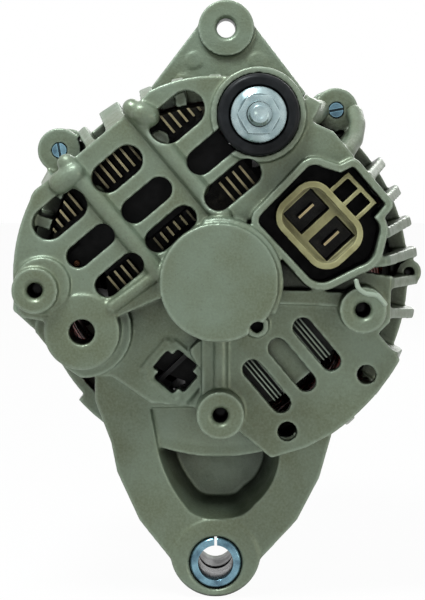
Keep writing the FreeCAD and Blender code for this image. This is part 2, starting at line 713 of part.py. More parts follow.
def make_retainer():
    d0 = FRONT_BEARING_END
    d1 = d0 + RETAINER_THICKNESS
    plate = ring(HUB_RADIUS, FRONT_BEARING_RADIUS - 4, d0, d1)
    holes = []
    screws = []
    for step in range(RETAINER_SCREWS):
        x, z = polar(retainer_circle(), 45 + 360.0 / RETAINER_SCREWS * step)
        holes.append(disc(RETAINER_SCREW_RADIUS + SCREW_CLEARANCE, d0 - 1, d1 + 1, x, z))
        shank = disc(RETAINER_SCREW_RADIUS, d0 - 8, d1, x, z)
        head = disc(RETAINER_SCREW_RADIUS * 1.7, d1, d1 + 1.8, x, z)
        screws.append(fused([shank, head]))
    keep("bearing_retainer_plate", less(plate, holes))
    keep("retainer_screws", *screws)


def make_through_bolts():
    head_d = STACK_FRONT - 9
    bolts = []
    for angle in OPEN_BOLT_ANGLES + BLIND_BOLT_ANGLES:
        x, z = polar(BOLT_CIRCLE, angle)
        end = FLANGE_END + LUG_RISE + 0.4
        if angle in BLIND_BOLT_ANGLES:
            end = STACK_REAR + BLIND_BOLT_GRIP
        shank = disc(BOLT_RADIUS, head_d, end, x, z)
        head = hexagon(BOLT_HEAD_RADIUS * math.sqrt(3), head_d - BOLT_HEAD_HEIGHT, head_d, x, z)
        bolt = fused([shank, head])
        slot = Part.makeBox(2 * BOLT_RADIUS + 2, 1.0, 0.8, V(-BOLT_RADIUS - 1, -end, -0.4))
        slot.rotate(V(0, 0, 0), AXIS, 100.0 if angle == OPEN_BOLT_ANGLES[0] else 10.0)
        slot.translate(V(x, 0, z))
        bolts.append(bolt.cut(slot))
    keep("through_bolts", *bolts)


# ---- rear bracket ----
# vent openings of the rear grid, in the grid's own axes: centre u, centre v, half length, radius
GRID_SLOTS = (
    (23.4, 49.0, 4.1, 5.9), (-2.0, 48.6, 4.4, 4.9), (-25.6, 49.4, 4.7, 5.3),
    (26.0, 33.2, 6.0, 4.3), (-1.2, 34.8, 5.4, 4.1), (-24.6, 35.2, 5.3, 3.8),
    (23.3, 20.8, 6.0, 4.6), (-1.2, 22.6, 5.5, 4.1), (-23.5, 22.0, 5.3, 3.9),
)
GRID_RIBS_U = (-13.2, 14.2)
# stretches of the rim where the flange stops at the stator: start and end angles
FLANGE_GAPS = ((-176.0, -157.0), (-157.0, -138.0))
# webs between the flange and the end walls: angle, outer radius at the wall, height, width
RIM_RIBS = (
    (46.0, 58.0, GRID_HEIGHT, 5.0), (34.5, 60.0, GRID_HEIGHT, 3.4), (25.2, 60.5, GRID_HEIGHT, 3.4),
    (15.8, 57.5, GRID_HEIGHT, 3.4), (6.6, 56.0, GRID_HEIGHT, 3.4), (-1.4, 57.5, LOUVRE_HEIGHT, 3.4),
    (-11.4, 57.5, LOUVRE_HEIGHT, 3.4), (-24.0, 64.0, LOUVRE_HEIGHT, 4.0),
    (-36.0, 61.5, LOUVRE_HEIGHT, 4.0), (-48.0, 61.5, LOUVRE_HEIGHT, 4.0),
    (62.0, 66.0, GRID_HEIGHT, 5.0), (91.0, 65.5, GRID_HEIGHT, 4.0),
    (102.0, 65.5, GRID_HEIGHT, 4.0), (111.5, 63.5, GRID_HEIGHT, 4.5), (123.5, 60.2, GRID_HEIGHT, 7.5),
    (133.5, 59.8, GRID_HEIGHT, 3.4), (150.5, 64.0, GRID_HEIGHT, 5.5), (162.0, 65.0, GRID_HEIGHT, 4.0),
    (172.0, 65.5, GRID_HEIGHT, 4.0),
)
RIB_DEPTH = 6.0
RIB_OVERHANG = 0.8
# threaded bosses on the rear face: x, z, upper radius
THREADED_BOSSES = ((-59.4, -3.1, 7.5), (0.5, -43.6, 7.8), (46.5, -9.4, 7.6))
BOSS_THREAD_RADIUS = 2.5
BOSS_CHAMFER_RADIUS = 3.7
LEAD_BOSS = (-44.4, -16.8)
LEAD_BOSS_RADIUS = 12.3
LEAD_BOSS_RISE = 0.8
LEAD_HOLE_RADIUS = 4.2
PIN_BOSS = (12.4, -15.1)
PIN_BOSS_RISE = 2.0
PIN_BOSS_RADIUS = 4.0
PIN_HOLE_RADIUS = 2.1
PAD_HOLES = ((48.4, -31.3), (22.5, -50.1))
PAD_HOLE_RADIUS = 3.15
LOUVRE_CENTRE = 37.0
LOUVRE_OFFSETS = (-10.6, 0.3, 10.9)
LOUVRE_HALF = 7.3
LOUVRE_RADIUS = 3.2
CROSS_CENTRE = (-14.3, -31.0)
CROSS_ANGLE = -40.0
CROSS_LONG = 6.6
CROSS_SHORT = 3.6
CROSS_MID = 4.2
CROSS_MARGIN = 3.0
CROSS_BORDER = 0.6
CROSS_BLOCK = [(-9.6, -23.1), (-6.4, -20.2), (-2.0, -20.2), (-2.0, -31.8), (-5.2, -31.4), (-8.9, -25.4)]
# round marks the ejector pins left on the ear
EJECTOR_MARKS = ((-8.7, 73.7), (14.0, 73.4), (-12.2, 65.9))
EJECTOR_RADIUS = 2.8
EJECTOR_RISE = 0.35
BOX_OUTLINE = [
    (14.0, 17.2), ((12.8, 19.6), (13.9, 21.9)), (27.6, 36.0), ((30.2, 37.4), (33.2, 36.6)),
    (38.8, 34.9), (43.0, 37.0), (53.4, 24.8), (49.8, 20.4), ((51.4, 18.3), (51.7, 15.5)),
    (50.2, 9.4), ((48.4, 6.6), (45.2, 4.9)), (35.8, 0.2), ((32.2, -0.4), (28.8, 1.4)),
]
GRID_OUTLINE = [
    (-66.4, -4.0), ((-66.0, 10.0), (-61.0, 26.0)), ((-59.9, 28.6), (-57.5, 30.6)), (-27.0, 56.0),
    (-22.5, 61.0), ((-10.0, 65.2), (2.0, 65.8)), (26.0, 60.0), (28.0, 52.0),
    (37.0, 48.0), (43.5, 40.0), (40.0, 35.5), (30.0, 37.0), (13.5, 21.5), (0.0, 14.0),
    (-17.0, -4.0), (-35.0, -11.6), (-52.0, -14.0), (-64.0, -12.0),
]
LOUVRE_OUTLINE = [
    (-3.8, -16.0), (-3.8, -44.0), (7.4, -50.6), (17.2, -59.0), (28.7, -55.5), (37.2, -51.0),
    ((50.6, -39.0), (59.5, -26.4)), (52.2, -17.8), (56.0, -14.0), (56.5, 1.0), (45.0, 3.0),
    (34.0, -2.0), (20.0, 6.0), (14.0, 0.0),
]
LOW_OUTLINE = [
    (-67.4, -4.0), (-68.0, -10.6), (-59.6, -18.2), (-51.1, -28.8), (-45.2, -32.6),
    (-35.3, -32.6), (-22.4, -41.6), (-8.0, -43.0), (-2.0, -38.0), (-2.0, -14.0), (-14.0, -6.0),
    (-35.0, -9.0), (-52.0, -11.0),
]


def grid_point(u, v):
    return local_point(u, v, GRID_ANGLE)


def arm_outline():
    # upper corners are measured from the rotor axis, lower ones from the pivot
    low = -FOOT_DROP
    return [
        (-41.3, -31.5), (-41.3, -41.1), (-35.9, -55.5), (-34.0, -65.3),
        (FOOT_X - 25.5, low + 14.3), (FOOT_X - 15.0, low + 1.0),
        ((FOOT_X - 0.3, low - FOOT_TOE), (FOOT_X + 14.9, low + 1.0)),
        (FOOT_X + 27.2, low + 14.3), (33.7, -67.2), (37.6, -53.2), (39.0, -46.0), (20.0, -46.0),
        (20.0, -50.0), (-2.0, -50.0), (-8.0, -40.0), (-30.0, -31.5),
    ]


def pocket_outline(inset):
    # the pocket in the foot, moved in by the inset on every side but the top
    low = -FOOT_DROP
    return [
        (-23.0 + inset, -43.5),
        (-20.9 + inset, -55.5),
        ((-17.6 + inset, -66.5), (FOOT_X - 9.5 + 0.7 * inset, low + 18.0 + 0.7 * inset)),
        ((FOOT_X - 6.0 + 0.4 * inset, low + 15.6 + 0.95 * inset), (FOOT_X - 1.5, low + 14.9 + inset)),
        (FOOT_X + 4.0, low + 14.9 + inset),
        ((FOOT_X + 9.0 - 0.4 * inset, low + 16.0 + 0.95 * inset),
         (FOOT_X + 13.0 - 0.7 * inset, low + 19.5 + 0.7 * inset)),
        ((18.4 - inset, -68.0), (20.4 - inset, -58.0)),
        (22.0 - inset, -43.5),
    ]


def rim_rib(angle, outer, height, width):
    top = STACK_REAR + height
    clear = WINDING_REAR + 2.5
    # a rib that stands right on the flange keeps clear of the rectifier fins behind it
    inner = FLANGE_INNER - RIB_OVERHANG if outer > FLANGE_INNER + 1 else outer - RIB_DEPTH
    profile = [
        (FLANGE_INNER + 1, STACK_REAR + 1),
        (RIB_REACH, STACK_REAR + 1),
        (RIB_REACH, FLANGE_END + 2),
        (outer, top - 1.5),
        (outer - 1.5, top),
        (inner, top),
        (inner, top - 4),
        (FLANGE_INNER + 0.5, clear),
        (FLANGE_INNER + 0.5, FLANGE_END),
    ]
    corners = [V(radius, -d, -width / 2) for radius, d in profile]
    web = Part.Face(Part.makePolygon(corners + corners[:1])).extrude(V(0, 0, width))
    return spun(web, angle)


def rear_shell():
    pieces = [
        disc(FLANGE_RADIUS, STACK_REAR, FLANGE_END),
        disc(REGISTER_RADIUS, STACK_REAR - REGISTER_LENGTH, STACK_REAR),
        disc(CAP_RADIUS, LOW_LEVEL - 4, CAP_LEVEL),
        disc(CAP_RADIUS + 1.6, GRID_LEVEL - 2, CAP_LEVEL - 1.6).common(
            local_box(0, 40, -40, 14, GRID_LEVEL - 2, CAP_LEVEL, GRID_ANGLE + 20)),
        prism(GRID_OUTLINE, GRID_UNDER, GRID_LEVEL),
        prism(LOUVRE_OUTLINE, LOUVRE_UNDER, LOUVRE_LEVEL),
        prism(LOW_OUTLINE, LOW_LEVEL - LOW_WALL, LOW_LEVEL),
        disc(INSULATOR_RADIUS + 2.3, GRID_UNDER, GRID_LEVEL + 2.0, STUD_X, STUD_Z),
    ]
    for u in GRID_RIBS_U:
        pieces.append(log_rib(grid_point(u, 15.0), grid_point(u, 60.5), 3.1, GRID_LEVEL + 0.2))
    pieces += [rim_rib(*rib) for rib in RIM_RIBS]
    return pieces


def step_walls():
    # upright walls where one surface of the end wall steps to another
    ridge = [(-17.0, -3.0), (-35.0, -10.6), (-50.0, -12.6), (-63.0, -10.0)]
    walls = []
    for start, end in zip(ridge, ridge[1:]):
        walls.append(bar_between(start, end, 4.0, LOW_LEVEL - LOW_WALL, GRID_LEVEL))
    walls.append(log_rib(grid_point(-15.0, 14.5), grid_point(-32.0, 15.6), 2.2, GRID_LEVEL))
    walls.append(bar_between((-3.5, -17.0), (-3.5, -42.0), 4.0, LOW_LEVEL - LOW_WALL, LOUVRE_LEVEL))
    walls.append(bar_between((9.0, -50.0), (33.0, -50.0), 4.0, ARM_LEVEL - ARM_WALL, LOUVRE_LEVEL - 1))
    walls.append(bar_between((20.0, -5.5), (46.0, -6.5), 5.0, LOUVRE_UNDER, LOUVRE_LEVEL + 3))
    walls.append(log_rib((0.6, -19.0), (0.6, -38.0), 2.4, LOUVRE_LEVEL))
    walls.append(prism(CROSS_BLOCK, LOW_LEVEL - 2, LOUVRE_LEVEL - 1.2))
    skirt = [(-26.0, 54.9), (-56.5, 29.5), (-60.6, 22.0), (-63.6, 6.0)]
    for start, end in zip(skirt, skirt[1:]):
        walls.append(bar_between(start, end, 3.0, WINDING_REAR + 3.0, GRID_UNDER + 1))
    border = cross_shape(CROSS_MARGIN, LOW_LEVEL - 1, LOW_LEVEL + CROSS_BORDER)
    walls.append(border.cut(cross_shape(CROSS_MARGIN - 1.0, LOW_LEVEL - 2, LOW_LEVEL + 2)))
    return walls


def cross_shape(margin, d0, d1):
    # the cross-shaped window beside the cap, grown by a margin
    long, short = CROSS_LONG + margin, CROSS_SHORT + margin
    cross = fused([
        local_box(-long, long, -short, short, d0, d1, 0),
        local_box(-CROSS_MID - margin, CROSS_MID + margin, -CROSS_MID - margin * 0.6 - 2.0,
                  CROSS_MID + margin * 0.6 + 2.0, d0, d1, 0),
    ])
    cross.rotate(V(0, 0, 0), AXIS, CROSS_ANGLE)
    cross.translate(V(CROSS_CENTRE[0], 0, CROSS_CENTRE[1]))
    return cross


def boss_columns():
    under = WINDING_REAR + 3.0
    columns = []
    for x, z, radius in THREADED_BOSSES:
        columns.append(disc(radius, under, BOSS_LEVEL, x, z))
        if math.hypot(x, z) > FLANGE_INNER - 1:
            web = disc(radius, FLANGE_END - 2, under + 1, x, z)
            columns.append(web.cut(disc(FLANGE_INNER + 0.5, FLANGE_END - 3, under)))
    x, z, radius = THREADED_BOSSES[0]
    columns.append(disc(radius + 1.6, GRID_UNDER, BOSS_LEVEL - 2.2, x + 2.3, z + 1.6))
    x, z = LEAD_BOSS
    columns.append(disc(LEAD_BOSS_RADIUS, under, GRID_LEVEL + LEAD_BOSS_RISE, x, z))
    columns.append(disc(LEAD_BOSS_RADIUS + 3.6, under, LOUVRE_LEVEL - 1.5, x, z).common(
        prism(LOW_OUTLINE, under - 1, GRID_LEVEL)))
    x, z = PIN_BOSS
    columns.append(disc(PIN_BOSS_RADIUS, LOUVRE_UNDER, LOUVRE_LEVEL + PIN_BOSS_RISE, x, z))
    for u in GRID_RIBS_U:
        for v in SINK_POSTS_V:
            x, z = grid_point(u, v)
            columns.append(disc(SINK_POST_RADIUS, SINK_REAR, GRID_UNDER + 1, x, z))
    for offset in WING_POSTS:
        x, z = local_point(WING_POST_OUT, offset, BRUSH_ANGLE)
        columns.append(disc(3.2, WING_REAR, LOUVRE_UNDER + 1, x, z))
    return columns


def lugs():
    pieces = []
    for angle in OPEN_BOLT_ANGLES:
        x, z = polar(BOLT_CIRCLE, angle)
        pieces.append(disc(LUG_RADIUS, STACK_REAR, FLANGE_END + LUG_RISE, x, z))
        pieces.append(bar_between((x, z), polar(FLANGE_INNER + 5, angle), 2 * LUG_RADIUS - 2,
                                  STACK_REAR, FLANGE_END))
    x, z = polar(RIB_REACH - 3.2, 0.7)
    pieces.append(disc(4.3, STACK_REAR, FLANGE_END + 3, x, z))
    return pieces


def flange_gap(start, end):
    # takes the flange back to the stator between two angles
    corners = [polar(radius, angle) for radius, angle in (
        (FLANGE_INNER - 4, start), (RIB_REACH + 20, start), (RIB_REACH + 20, end), (FLANGE_INNER - 4, end))]
    wedge = prism(corners, STACK_REAR - REGISTER_LENGTH - 1, WINDING_REAR)
    return wedge.cut(disc(STATOR_RADIUS + 0.6, STACK_REAR - REGISTER_LENGTH - 2, WINDING_REAR + 1))


def grown_box(margin, d0, d1):
    # the plug box's outline grown by a margin, as a solid block
    face = Part.Face(outline_wire(BOX_OUTLINE, d1)).makeOffset2D(margin)
    return Part.Face(face.OuterWire).extrude(V(0, d1 - d0, 0))


def module_block(margin, d0, d1):
    return grown_box(margin, d0, d1).common(disc(MODULE_RADIUS + margin, d0, d1))


def foot():
    front = ARM_LEVEL - FOOT_LENGTH
    arm = prism(arm_outline(), front, ARM_LEVEL)
    clear = [
        disc(STATOR_RADIUS + 1.0, front - 1, STACK_REAR - REGISTER_LENGTH - 1),
        disc(REGISTER_RADIUS - 0.5, front - 1, STACK_REAR),
    ]
    step = disc(FOOT_RING_RADIUS, ARM_LEVEL - 1, ARM_LEVEL + 0.8, FOOT_X, -FOOT_DROP)
    return [less(arm, clear), step.common(prism(arm_outline(), ARM_LEVEL - 1, ARM_LEVEL + 1))]


def pocket():
    # closed at the bottom, with sides that lean in by the draft
    mouth = ARM_LEVEL + 0.5
    floor = STACK_REAR + POCKET_FLOOR
    wide = outline_wire(pocket_outline(0), mouth)
    narrow = outline_wire(pocket_outline(POCKET_DRAFT), floor)
    scoop = Part.makeLoft([wide, narrow], True, True)
    return scoop.cut(disc(FLANGE_INNER + POCKET_WALL, floor - 1, WINDING_REAR + 3.0 + POCKET_SKIN))


def rear_hollow():
    # room for the winding, the rectifier and the regulator
    return [
        disc(STATOR_RADIUS + SEAT_CLEARANCE, STACK_REAR - REGISTER_LENGTH - 1, STACK_REAR),
        disc(FLANGE_INNER, STACK_REAR - 1, WINDING_REAR + 3.0),
        disc(REAR_BEARING_RADIUS, STACK_REAR, REAR_BEARING_END + CAP_ROOM),
    ]


def rear_openings():
    cuts = [flange_gap(*gap) for gap in FLANGE_GAPS]
    for u, v, half, radius in GRID_SLOTS:
        x, z = grid_point(u, v)
        cuts.append(stadium(x, z, GRID_ANGLE, half, radius, GRID_UNDER - 1, GRID_LEVEL + 4))
    for offset in LOUVRE_OFFSETS:
        x, z = local_point(LOUVRE_CENTRE, offset, BRUSH_ANGLE)
        cuts.append(stadium(x, z, BRUSH_ANGLE, LOUVRE_HALF, LOUVRE_RADIUS,
                            LOUVRE_UNDER - 1, LOUVRE_LEVEL + 1))
    for x, z in PAD_HOLES:
        cuts.append(disc(PAD_HOLE_RADIUS, LOUVRE_UNDER - 12, LOUVRE_LEVEL + 1, x, z))
    cuts.append(cross_shape(0, SINK_REAR - 4, LOW_LEVEL + 1))
    return cuts


def boss_holes():
    cuts = []
    for x, z, _ in THREADED_BOSSES:
        cuts.append(disc(BOSS_THREAD_RADIUS, BOSS_LEVEL - 14, BOSS_LEVEL + 1, x, z))
        chamfer = BOSS_CHAMFER_RADIUS - BOSS_THREAD_RADIUS
        cuts.append(cone(BOSS_THREAD_RADIUS, BOSS_CHAMFER_RADIUS, BOSS_LEVEL - chamfer,
                         BOSS_LEVEL + 0.001, x, z))
    x, z = LEAD_BOSS
    cuts.append(disc(LEAD_HOLE_RADIUS, WINDING_REAR, GRID_LEVEL + 2, x, z))
    x, z = PIN_BOSS
    cuts.append(disc(PIN_HOLE_RADIUS, LOUVRE_UNDER - 1, BOSS_LEVEL + 1, x, z))
    cuts.append(disc(PIN_HOLE_RADIUS + 0.6, LOUVRE_LEVEL + PIN_BOSS_RISE, CAP_LEVEL + 1, x, z))
    for u in GRID_RIBS_U:
        for v in SINK_POSTS_V:
            x, z = grid_point(u, v)
            cuts.append(disc(SINK_SCREW_RADIUS + SCREW_CLEARANCE, SINK_REAR - 1, GRID_UNDER - 2, x, z))
    for offset in WING_POSTS:
        x, z = local_point(WING_POST_OUT, offset, BRUSH_ANGLE)
        cuts.append(disc(WING_SCREW_RADIUS + SCREW_CLEARANCE, WING_REAR - 1, LOUVRE_UNDER, x, z))
    for angle in OPEN_BOLT_ANGLES:
        x, z = polar(BOLT_CIRCLE, angle)
        cuts.append(disc(BOLT_RADIUS + SCREW_CLEARANCE, STACK_REAR - 5, FLANGE_END + 5, x, z))
    for angle in BLIND_BOLT_ANGLES:
        x, z = polar(BOLT_CIRCLE, angle)
        cuts.append(disc(BOLT_RADIUS + SCREW_CLEARANCE, ARM_LEVEL - FOOT_LENGTH - 1,
                         STACK_REAR + BLIND_BOLT_GRIP + 1, x, z))
    x, z = polar(RIB_REACH - 3.2, 0.7)
    cuts.append(disc(1.7, FLANGE_END - 1, FLANGE_END + 4, x, z))
    return cuts


def foot_bore():
    bush_stop = ARM_LEVEL - BUSH_LENGTH - BUSH_TRAVEL - 0.5
    bush_bore = BUSH_OUTER_RADIUS + RUNNING_CLEARANCE
    return [
        disc(bush_bore, bush_stop, ARM_LEVEL + 2, FOOT_X, -FOOT_DROP),
        disc(FOOT_BOLT_RADIUS, ARM_LEVEL - FOOT_LENGTH - 1, bush_stop + 1, FOOT_X, -FOOT_DROP),
        cone(bush_bore, bush_bore + 1.0, ARM_LEVEL - 0.2, ARM_LEVEL + 0.801, FOOT_X, -FOOT_DROP),
    ]


def stud_seat():
    return [
        disc(INSULATOR_RADIUS + SEAT_CLEARANCE, GRID_LEVEL - INSULATOR_SINK, GRID_LEVEL + 5, STUD_X, STUD_Z),
        disc(INSULATOR_NECK_RADIUS + SEAT_CLEARANCE, GRID_UNDER - 1, GRID_LEVEL, STUD_X, STUD_Z),
    ]


def make_rear_bracket():
    solid = joined(rear_shell() + step_walls() + boss_columns() + lugs() + foot()
                   + [grown_box(BOX_WALL, MODULE_REAR, BOX_LEVEL)])
    box_room = prism(BOX_OUTLINE, MODULE_FRONT - 1, BOX_LEVEL + 1)
    module_room = module_block(MODULE_LEDGE + PART_CLEARANCE, MODULE_FRONT - 1, MODULE_REAR)
    holder_room = local_box(0, HOLDER_OUTER + 2, -WING_PLATEAU, WING_PLATEAU,
                            WINDING_REAR, LOUVRE_UNDER, BRUSH_ANGLE)
    cuts = rear_hollow() + rear_openings() + boss_holes() + foot_bore() + stud_seat()
    cuts += [pocket(), box_room, module_room, holder_room]
    keep("rear_bracket", less(solid, cuts))


# ---- output stud ----
def make_output_stud():
    face = GRID_LEVEL + INSULATOR_HEIGHT
    nut_seat = face - NUT_RECESS
    end = face + STUD_REACH
    head = hexagon(STUD_HEAD_RADIUS * math.sqrt(3), SINK_FRONT - STUD_HEAD_HEIGHT, SINK_FRONT,
                   STUD_X, STUD_Z)
    nut_top = nut_seat + NUT_HEIGHT
    shank = disc(STUD_RADIUS, SINK_FRONT, nut_top, STUD_X, STUD_Z)
    thread = disc(STUD_THREAD_RADIUS, nut_top, end - 1.2, STUD_X, STUD_Z)
    tip = cone(STUD_THREAD_RADIUS, STUD_THREAD_RADIUS - 1.2, end - 1.2, end, STUD_X, STUD_Z)
    keep("output_stud", fused([head, shank, thread, tip]))
    insulator = fused([
        disc(INSULATOR_NECK_RADIUS, SINK_REAR, GRID_LEVEL, STUD_X, STUD_Z),
        disc(INSULATOR_RADIUS, GRID_LEVEL - INSULATOR_SINK, face - 1.0, STUD_X, STUD_Z),
        cone(INSULATOR_RADIUS, INSULATOR_RADIUS - 1.0, face - 1.0, face, STUD_X, STUD_Z),
    ])
    keep("stud_insulator", less(insulator, [
        disc(STUD_RADIUS + SCREW_CLEARANCE, SINK_REAR - 1, face + 1, STUD_X, STUD_Z),
        disc(NUT_FLANGE_RADIUS + PART_CLEARANCE, nut_seat, face + 1, STUD_X, STUD_Z),
    ]))
    flange = disc(NUT_FLANGE_RADIUS, nut_seat, nut_seat + NUT_FLANGE * 0.6, STUD_X, STUD_Z)
    slope = cone(NUT_FLANGE_RADIUS, NUT_FLATS * 0.56, nut_seat + NUT_FLANGE * 0.6,
                 nut_seat + NUT_FLANGE * 1.5, STUD_X, STUD_Z)
    body = hex_nut(NUT_FLATS, nut_seat, nut_top, STUD_X, STUD_Z)
    bore = disc(STUD_RADIUS, nut_seat - 1, nut_top + 1, STUD_X, STUD_Z)
    keep("output_nut", fused([flange, slope, body]).cut(bore))


# ---- rectifier, in the grid's axes ----
def grid_box(u0, u1, v0, v1, d0, d1):
    return local_box(u0, u1, v0, v1, d0, d1, GRID_ANGLE)


def sink_fins(u0, u1, v0, v1):
    fins = []
    count = int((u1 - u0) / FIN_PITCH)
    for step in range(count + 1):
        u = u0 + FIN_PITCH * step
        beside = SINK_POST_RADIUS + FIN_SHEET / 2 + PART_CLEARANCE
        if min(abs(u - post) for post in GRID_RIBS_U) > beside:
            fins.append(grid_box(u - FIN_SHEET / 2, u + FIN_SHEET / 2, v0, v1,
                                 SINK_REAR - 0.5, GRID_UNDER - FIN_GAP))
    return fins


def sink_screw_holes():
    holes = []
    for u in GRID_RIBS_U:
        for v in SINK_POSTS_V:
            x, z = grid_point(u, v)
            holes.append(disc(SINK_SCREW_RADIUS + SCREW_CLEARANCE, SINK_FRONT - 1, SINK_REAR + 1, x, z))
    return holes


def make_rectifier():
    reach = FLANGE_INNER - FIN_GAP
    rim = disc(reach, SINK_FRONT - 5, GRID_UNDER)
    hollow = disc(CAP_RADIUS + FIN_GAP, SINK_FRONT - 5, GRID_UNDER)
    outer = [grid_box(-34, 37, 36.5, 57, SINK_FRONT, SINK_REAR)] + sink_fins(-33.6, 33.6, 45.8, 57)
    outer = [piece.common(rim) for piece in outer]
    outer.append(grid_box(33, 51, 26.0, 40.5, SINK_FRONT, SINK_REAR).common(
        disc(reach + 3, SINK_FRONT, SINK_REAR)))
    stud_hole = disc(STUD_RADIUS + SCREW_CLEARANCE, SINK_FRONT - 1, SINK_REAR + 1, STUD_X, STUD_Z)
    keep("positive_heat_sink", less(fused(outer), sink_screw_holes() + [stud_hole]))
    inner = [grid_box(-27.8, 31, 15.8, 31, SINK_FRONT, SINK_REAR)] + sink_fins(-27.2, 30.8, 15.8, 24.0)
    keep("negative_heat_sink", less(fused(inner), sink_screw_holes() + [hollow]))
    rows = {"positive_diodes": POSITIVE_DIODE_V, "negative_diodes": NEGATIVE_DIODE_V}
    for name, v in rows.items():
        places = [grid_point(u, v) for u in DIODES_U]
        keep(name, *[disc(DIODE_RADIUS, SINK_REAR, SINK_REAR + DIODE_HEIGHT, x, z) for x, z in places])
    plate_front = SINK_REAR + DIODE_HEIGHT
    plate_rear = plate_front + TERMINAL_SHEET
    plate = fused([
        grid_box(-28, 31, 24.4, 44.2, plate_front, plate_rear),
        grid_box(-40.2, -27, 30.6, 38.0, plate_front, plate_rear),
    ]).common(rim)
    boss_x, boss_z, boss_radius = THREADED_BOSSES[0]
    holes = [disc(boss_radius + PART_CLEARANCE, plate_front - 1, plate_rear + 1, boss_x, boss_z)]
    leads = []
    for u in GRID_RIBS_U:
        for v in SINK_POSTS_V:
            x, z = grid_point(u, v)
            holes.append(disc(SINK_POST_RADIUS + PART_CLEARANCE, plate_front - 1, plate_rear + 1, x, z))
    for u in LEADS_U:
        x, z = grid_point(u, LEADS_V)
        holes.append(disc(LEAD_RADIUS + SEAT_CLEARANCE, plate_front - 1, plate_rear + 1, x, z))
        leads.append(disc(LEAD_RADIUS, WINDING_REAR, plate_rear + 1.5, x, z))
    keep("rectifier_terminal_plate", less(plate, holes))
    keep("stator_leads", *leads)
    screws = []
    for u in GRID_RIBS_U:
        for v in SINK_POSTS_V:
            x, z = grid_point(u, v)
            shank = disc(SINK_SCREW_RADIUS, SINK_FRONT, SINK_REAR + 8, x, z)
            head = disc(SINK_SCREW_HEAD, SINK_FRONT - STUD_HEAD_HEIGHT, SINK_FRONT, x, z)
            screws.append(fused([shank, head]))
    keep("rectifier_screws", *screws)


# ---- brushes, in the brush axes ----
def brush_box(a0, a1, half, d0, d1):
    return local_box(a0, a1, -half, half, d0, d1, BRUSH_ANGLE)


def brush_spring(station):
    start = BRUSH_OUTER + SPRING_WIRE
    length = SPRING_LENGTH - 2 * SPRING_WIRE
    helix = Part.makeHelix(length / SPRING_TURNS, length, SPRING_COIL_RADIUS)
    section = Part.Wire(Part.makeCircle(SPRING_WIRE, V(SPRING_COIL_RADIUS, 0, 0), V(0, 1, 0)))
    spring = Part.Wire(helix).makePipeShell([section], True, True)
    spring.rotate(V(0, 0, 0), V(0, 1, 0), 90.0)
    spring.translate(at(start, 0, station))
    return spun(spring, BRUSH_ANGLE)


def make_brushes():
    holder = brush_box(HOLDER_INNER, HOLDER_OUTER, HOLDER_HALF, HOLDER_FRONT, HOLDER_REAR)
    channels = []
    for number, station in enumerate(BRUSH_STATIONS, 1):
        half_width = BRUSH_AXIAL / 2
        brush = brush_box(BRUSH_INNER - 1, BRUSH_OUTER, BRUSH_ACROSS / 2,
                          station - half_width, station + half_width)
        ring_room = disc(BRUSH_INNER, station - half_width - 1, station + half_width + 1)
        keep("brush_%d" % number, brush.cut(ring_room))
        keep("brush_spring_%d" % number, brush_spring(station))
        grip = half_width + CHANNEL_CLEARANCE
        channels.append(brush_box(HOLDER_INNER - 1, SPRING_OUTER, BRUSH_ACROSS / 2 + CHANNEL_CLEARANCE,
                                  station - grip, station + grip))
    keep("brush_holder", less(holder, channels))


# ---- regulator, heat sink and plug socket ----
def make_regulator():
    keep("regulator_module", module_block(MODULE_LEDGE, MODULE_FRONT, MODULE_REAR))
    plateau = brush_box(WING_INNER, WING_OUTER, WING_PLATEAU, HOLDER_REAR, LOUVRE_UNDER)
    sides = brush_box(WING_INNER, WING_OUTER, WING_PLATEAU, WING_FRONT, HOLDER_REAR).cut(
        brush_box(WING_INNER - 1, WING_OUTER + 1, HOLDER_HALF + 0.2, WING_FRONT - 1, HOLDER_REAR + 1))
    wings = brush_box(WING_INNER, WING_OUTER, WING_HALF, WING_FRONT, WING_REAR).cut(
        brush_box(WING_INNER - 1, WING_OUTER + 1, HOLDER_HALF + 0.2, WING_FRONT - 1, WING_REAR + 1))
    pieces = [plateau, sides, wings]
    for side in (-1, 1):
        for step in range(1, 4):
            t = side * (WING_PLATEAU + 1.3 * step)
            pieces.append(local_box(WING_INNER, WING_OUTER, t - FIN_SHEET / 3, t + FIN_SHEET / 3,
                                    WING_REAR - 0.2, LOUVRE_UNDER - 1.0, BRUSH_ANGLE))
    holes = []
    screws = []
    for offset in WING_POSTS:
        x, z = local_point(WING_POST_OUT, offset, BRUSH_ANGLE)
        holes.append(disc(WING_SCREW_RADIUS + SCREW_CLEARANCE, WING_FRONT - 1, WING_REAR + 1, x, z))
        shank = disc(WING_SCREW_RADIUS, WING_FRONT, WING_REAR + 5, x, z)
        head = disc(WING_SCREW_RADIUS * 1.8, WING_FRONT - 1.4, WING_FRONT, x, z)
        screws.append(fused([shank, head]))
    boss_x, boss_z, boss_radius = THREADED_BOSSES[1]
    holes.append(disc(boss_radius + PART_CLEARANCE, WING_FRONT - 1, WING_REAR + 1, boss_x, boss_z))
    keep("regulator_heat_sink", less(fused(pieces), holes))
    keep("regulator_screws", *screws)


def socket_box(p0, p1, q0, q1, d0, d1):
    box = local_box(p0, p1, q0, q1, d0, d1, SOCKET_ANGLE)
    box.translate(V(SOCKET_X, 0, SOCKET_Z))
    return box


def rounded_block(long, short, corner, d0, d1):
    block = Part.makeBox(long, d1 - d0, short, V(-long / 2, -d1, -short / 2))
    uprights = [edge for edge in block.Edges if abs(edge.tangentAt(edge.FirstParameter).y) > 0.9]
    block = spun(block.makeFillet(corner, uprights), SOCKET_ANGLE)
    block.translate(V(SOCKET_X, 0, SOCKET_Z))
    return block


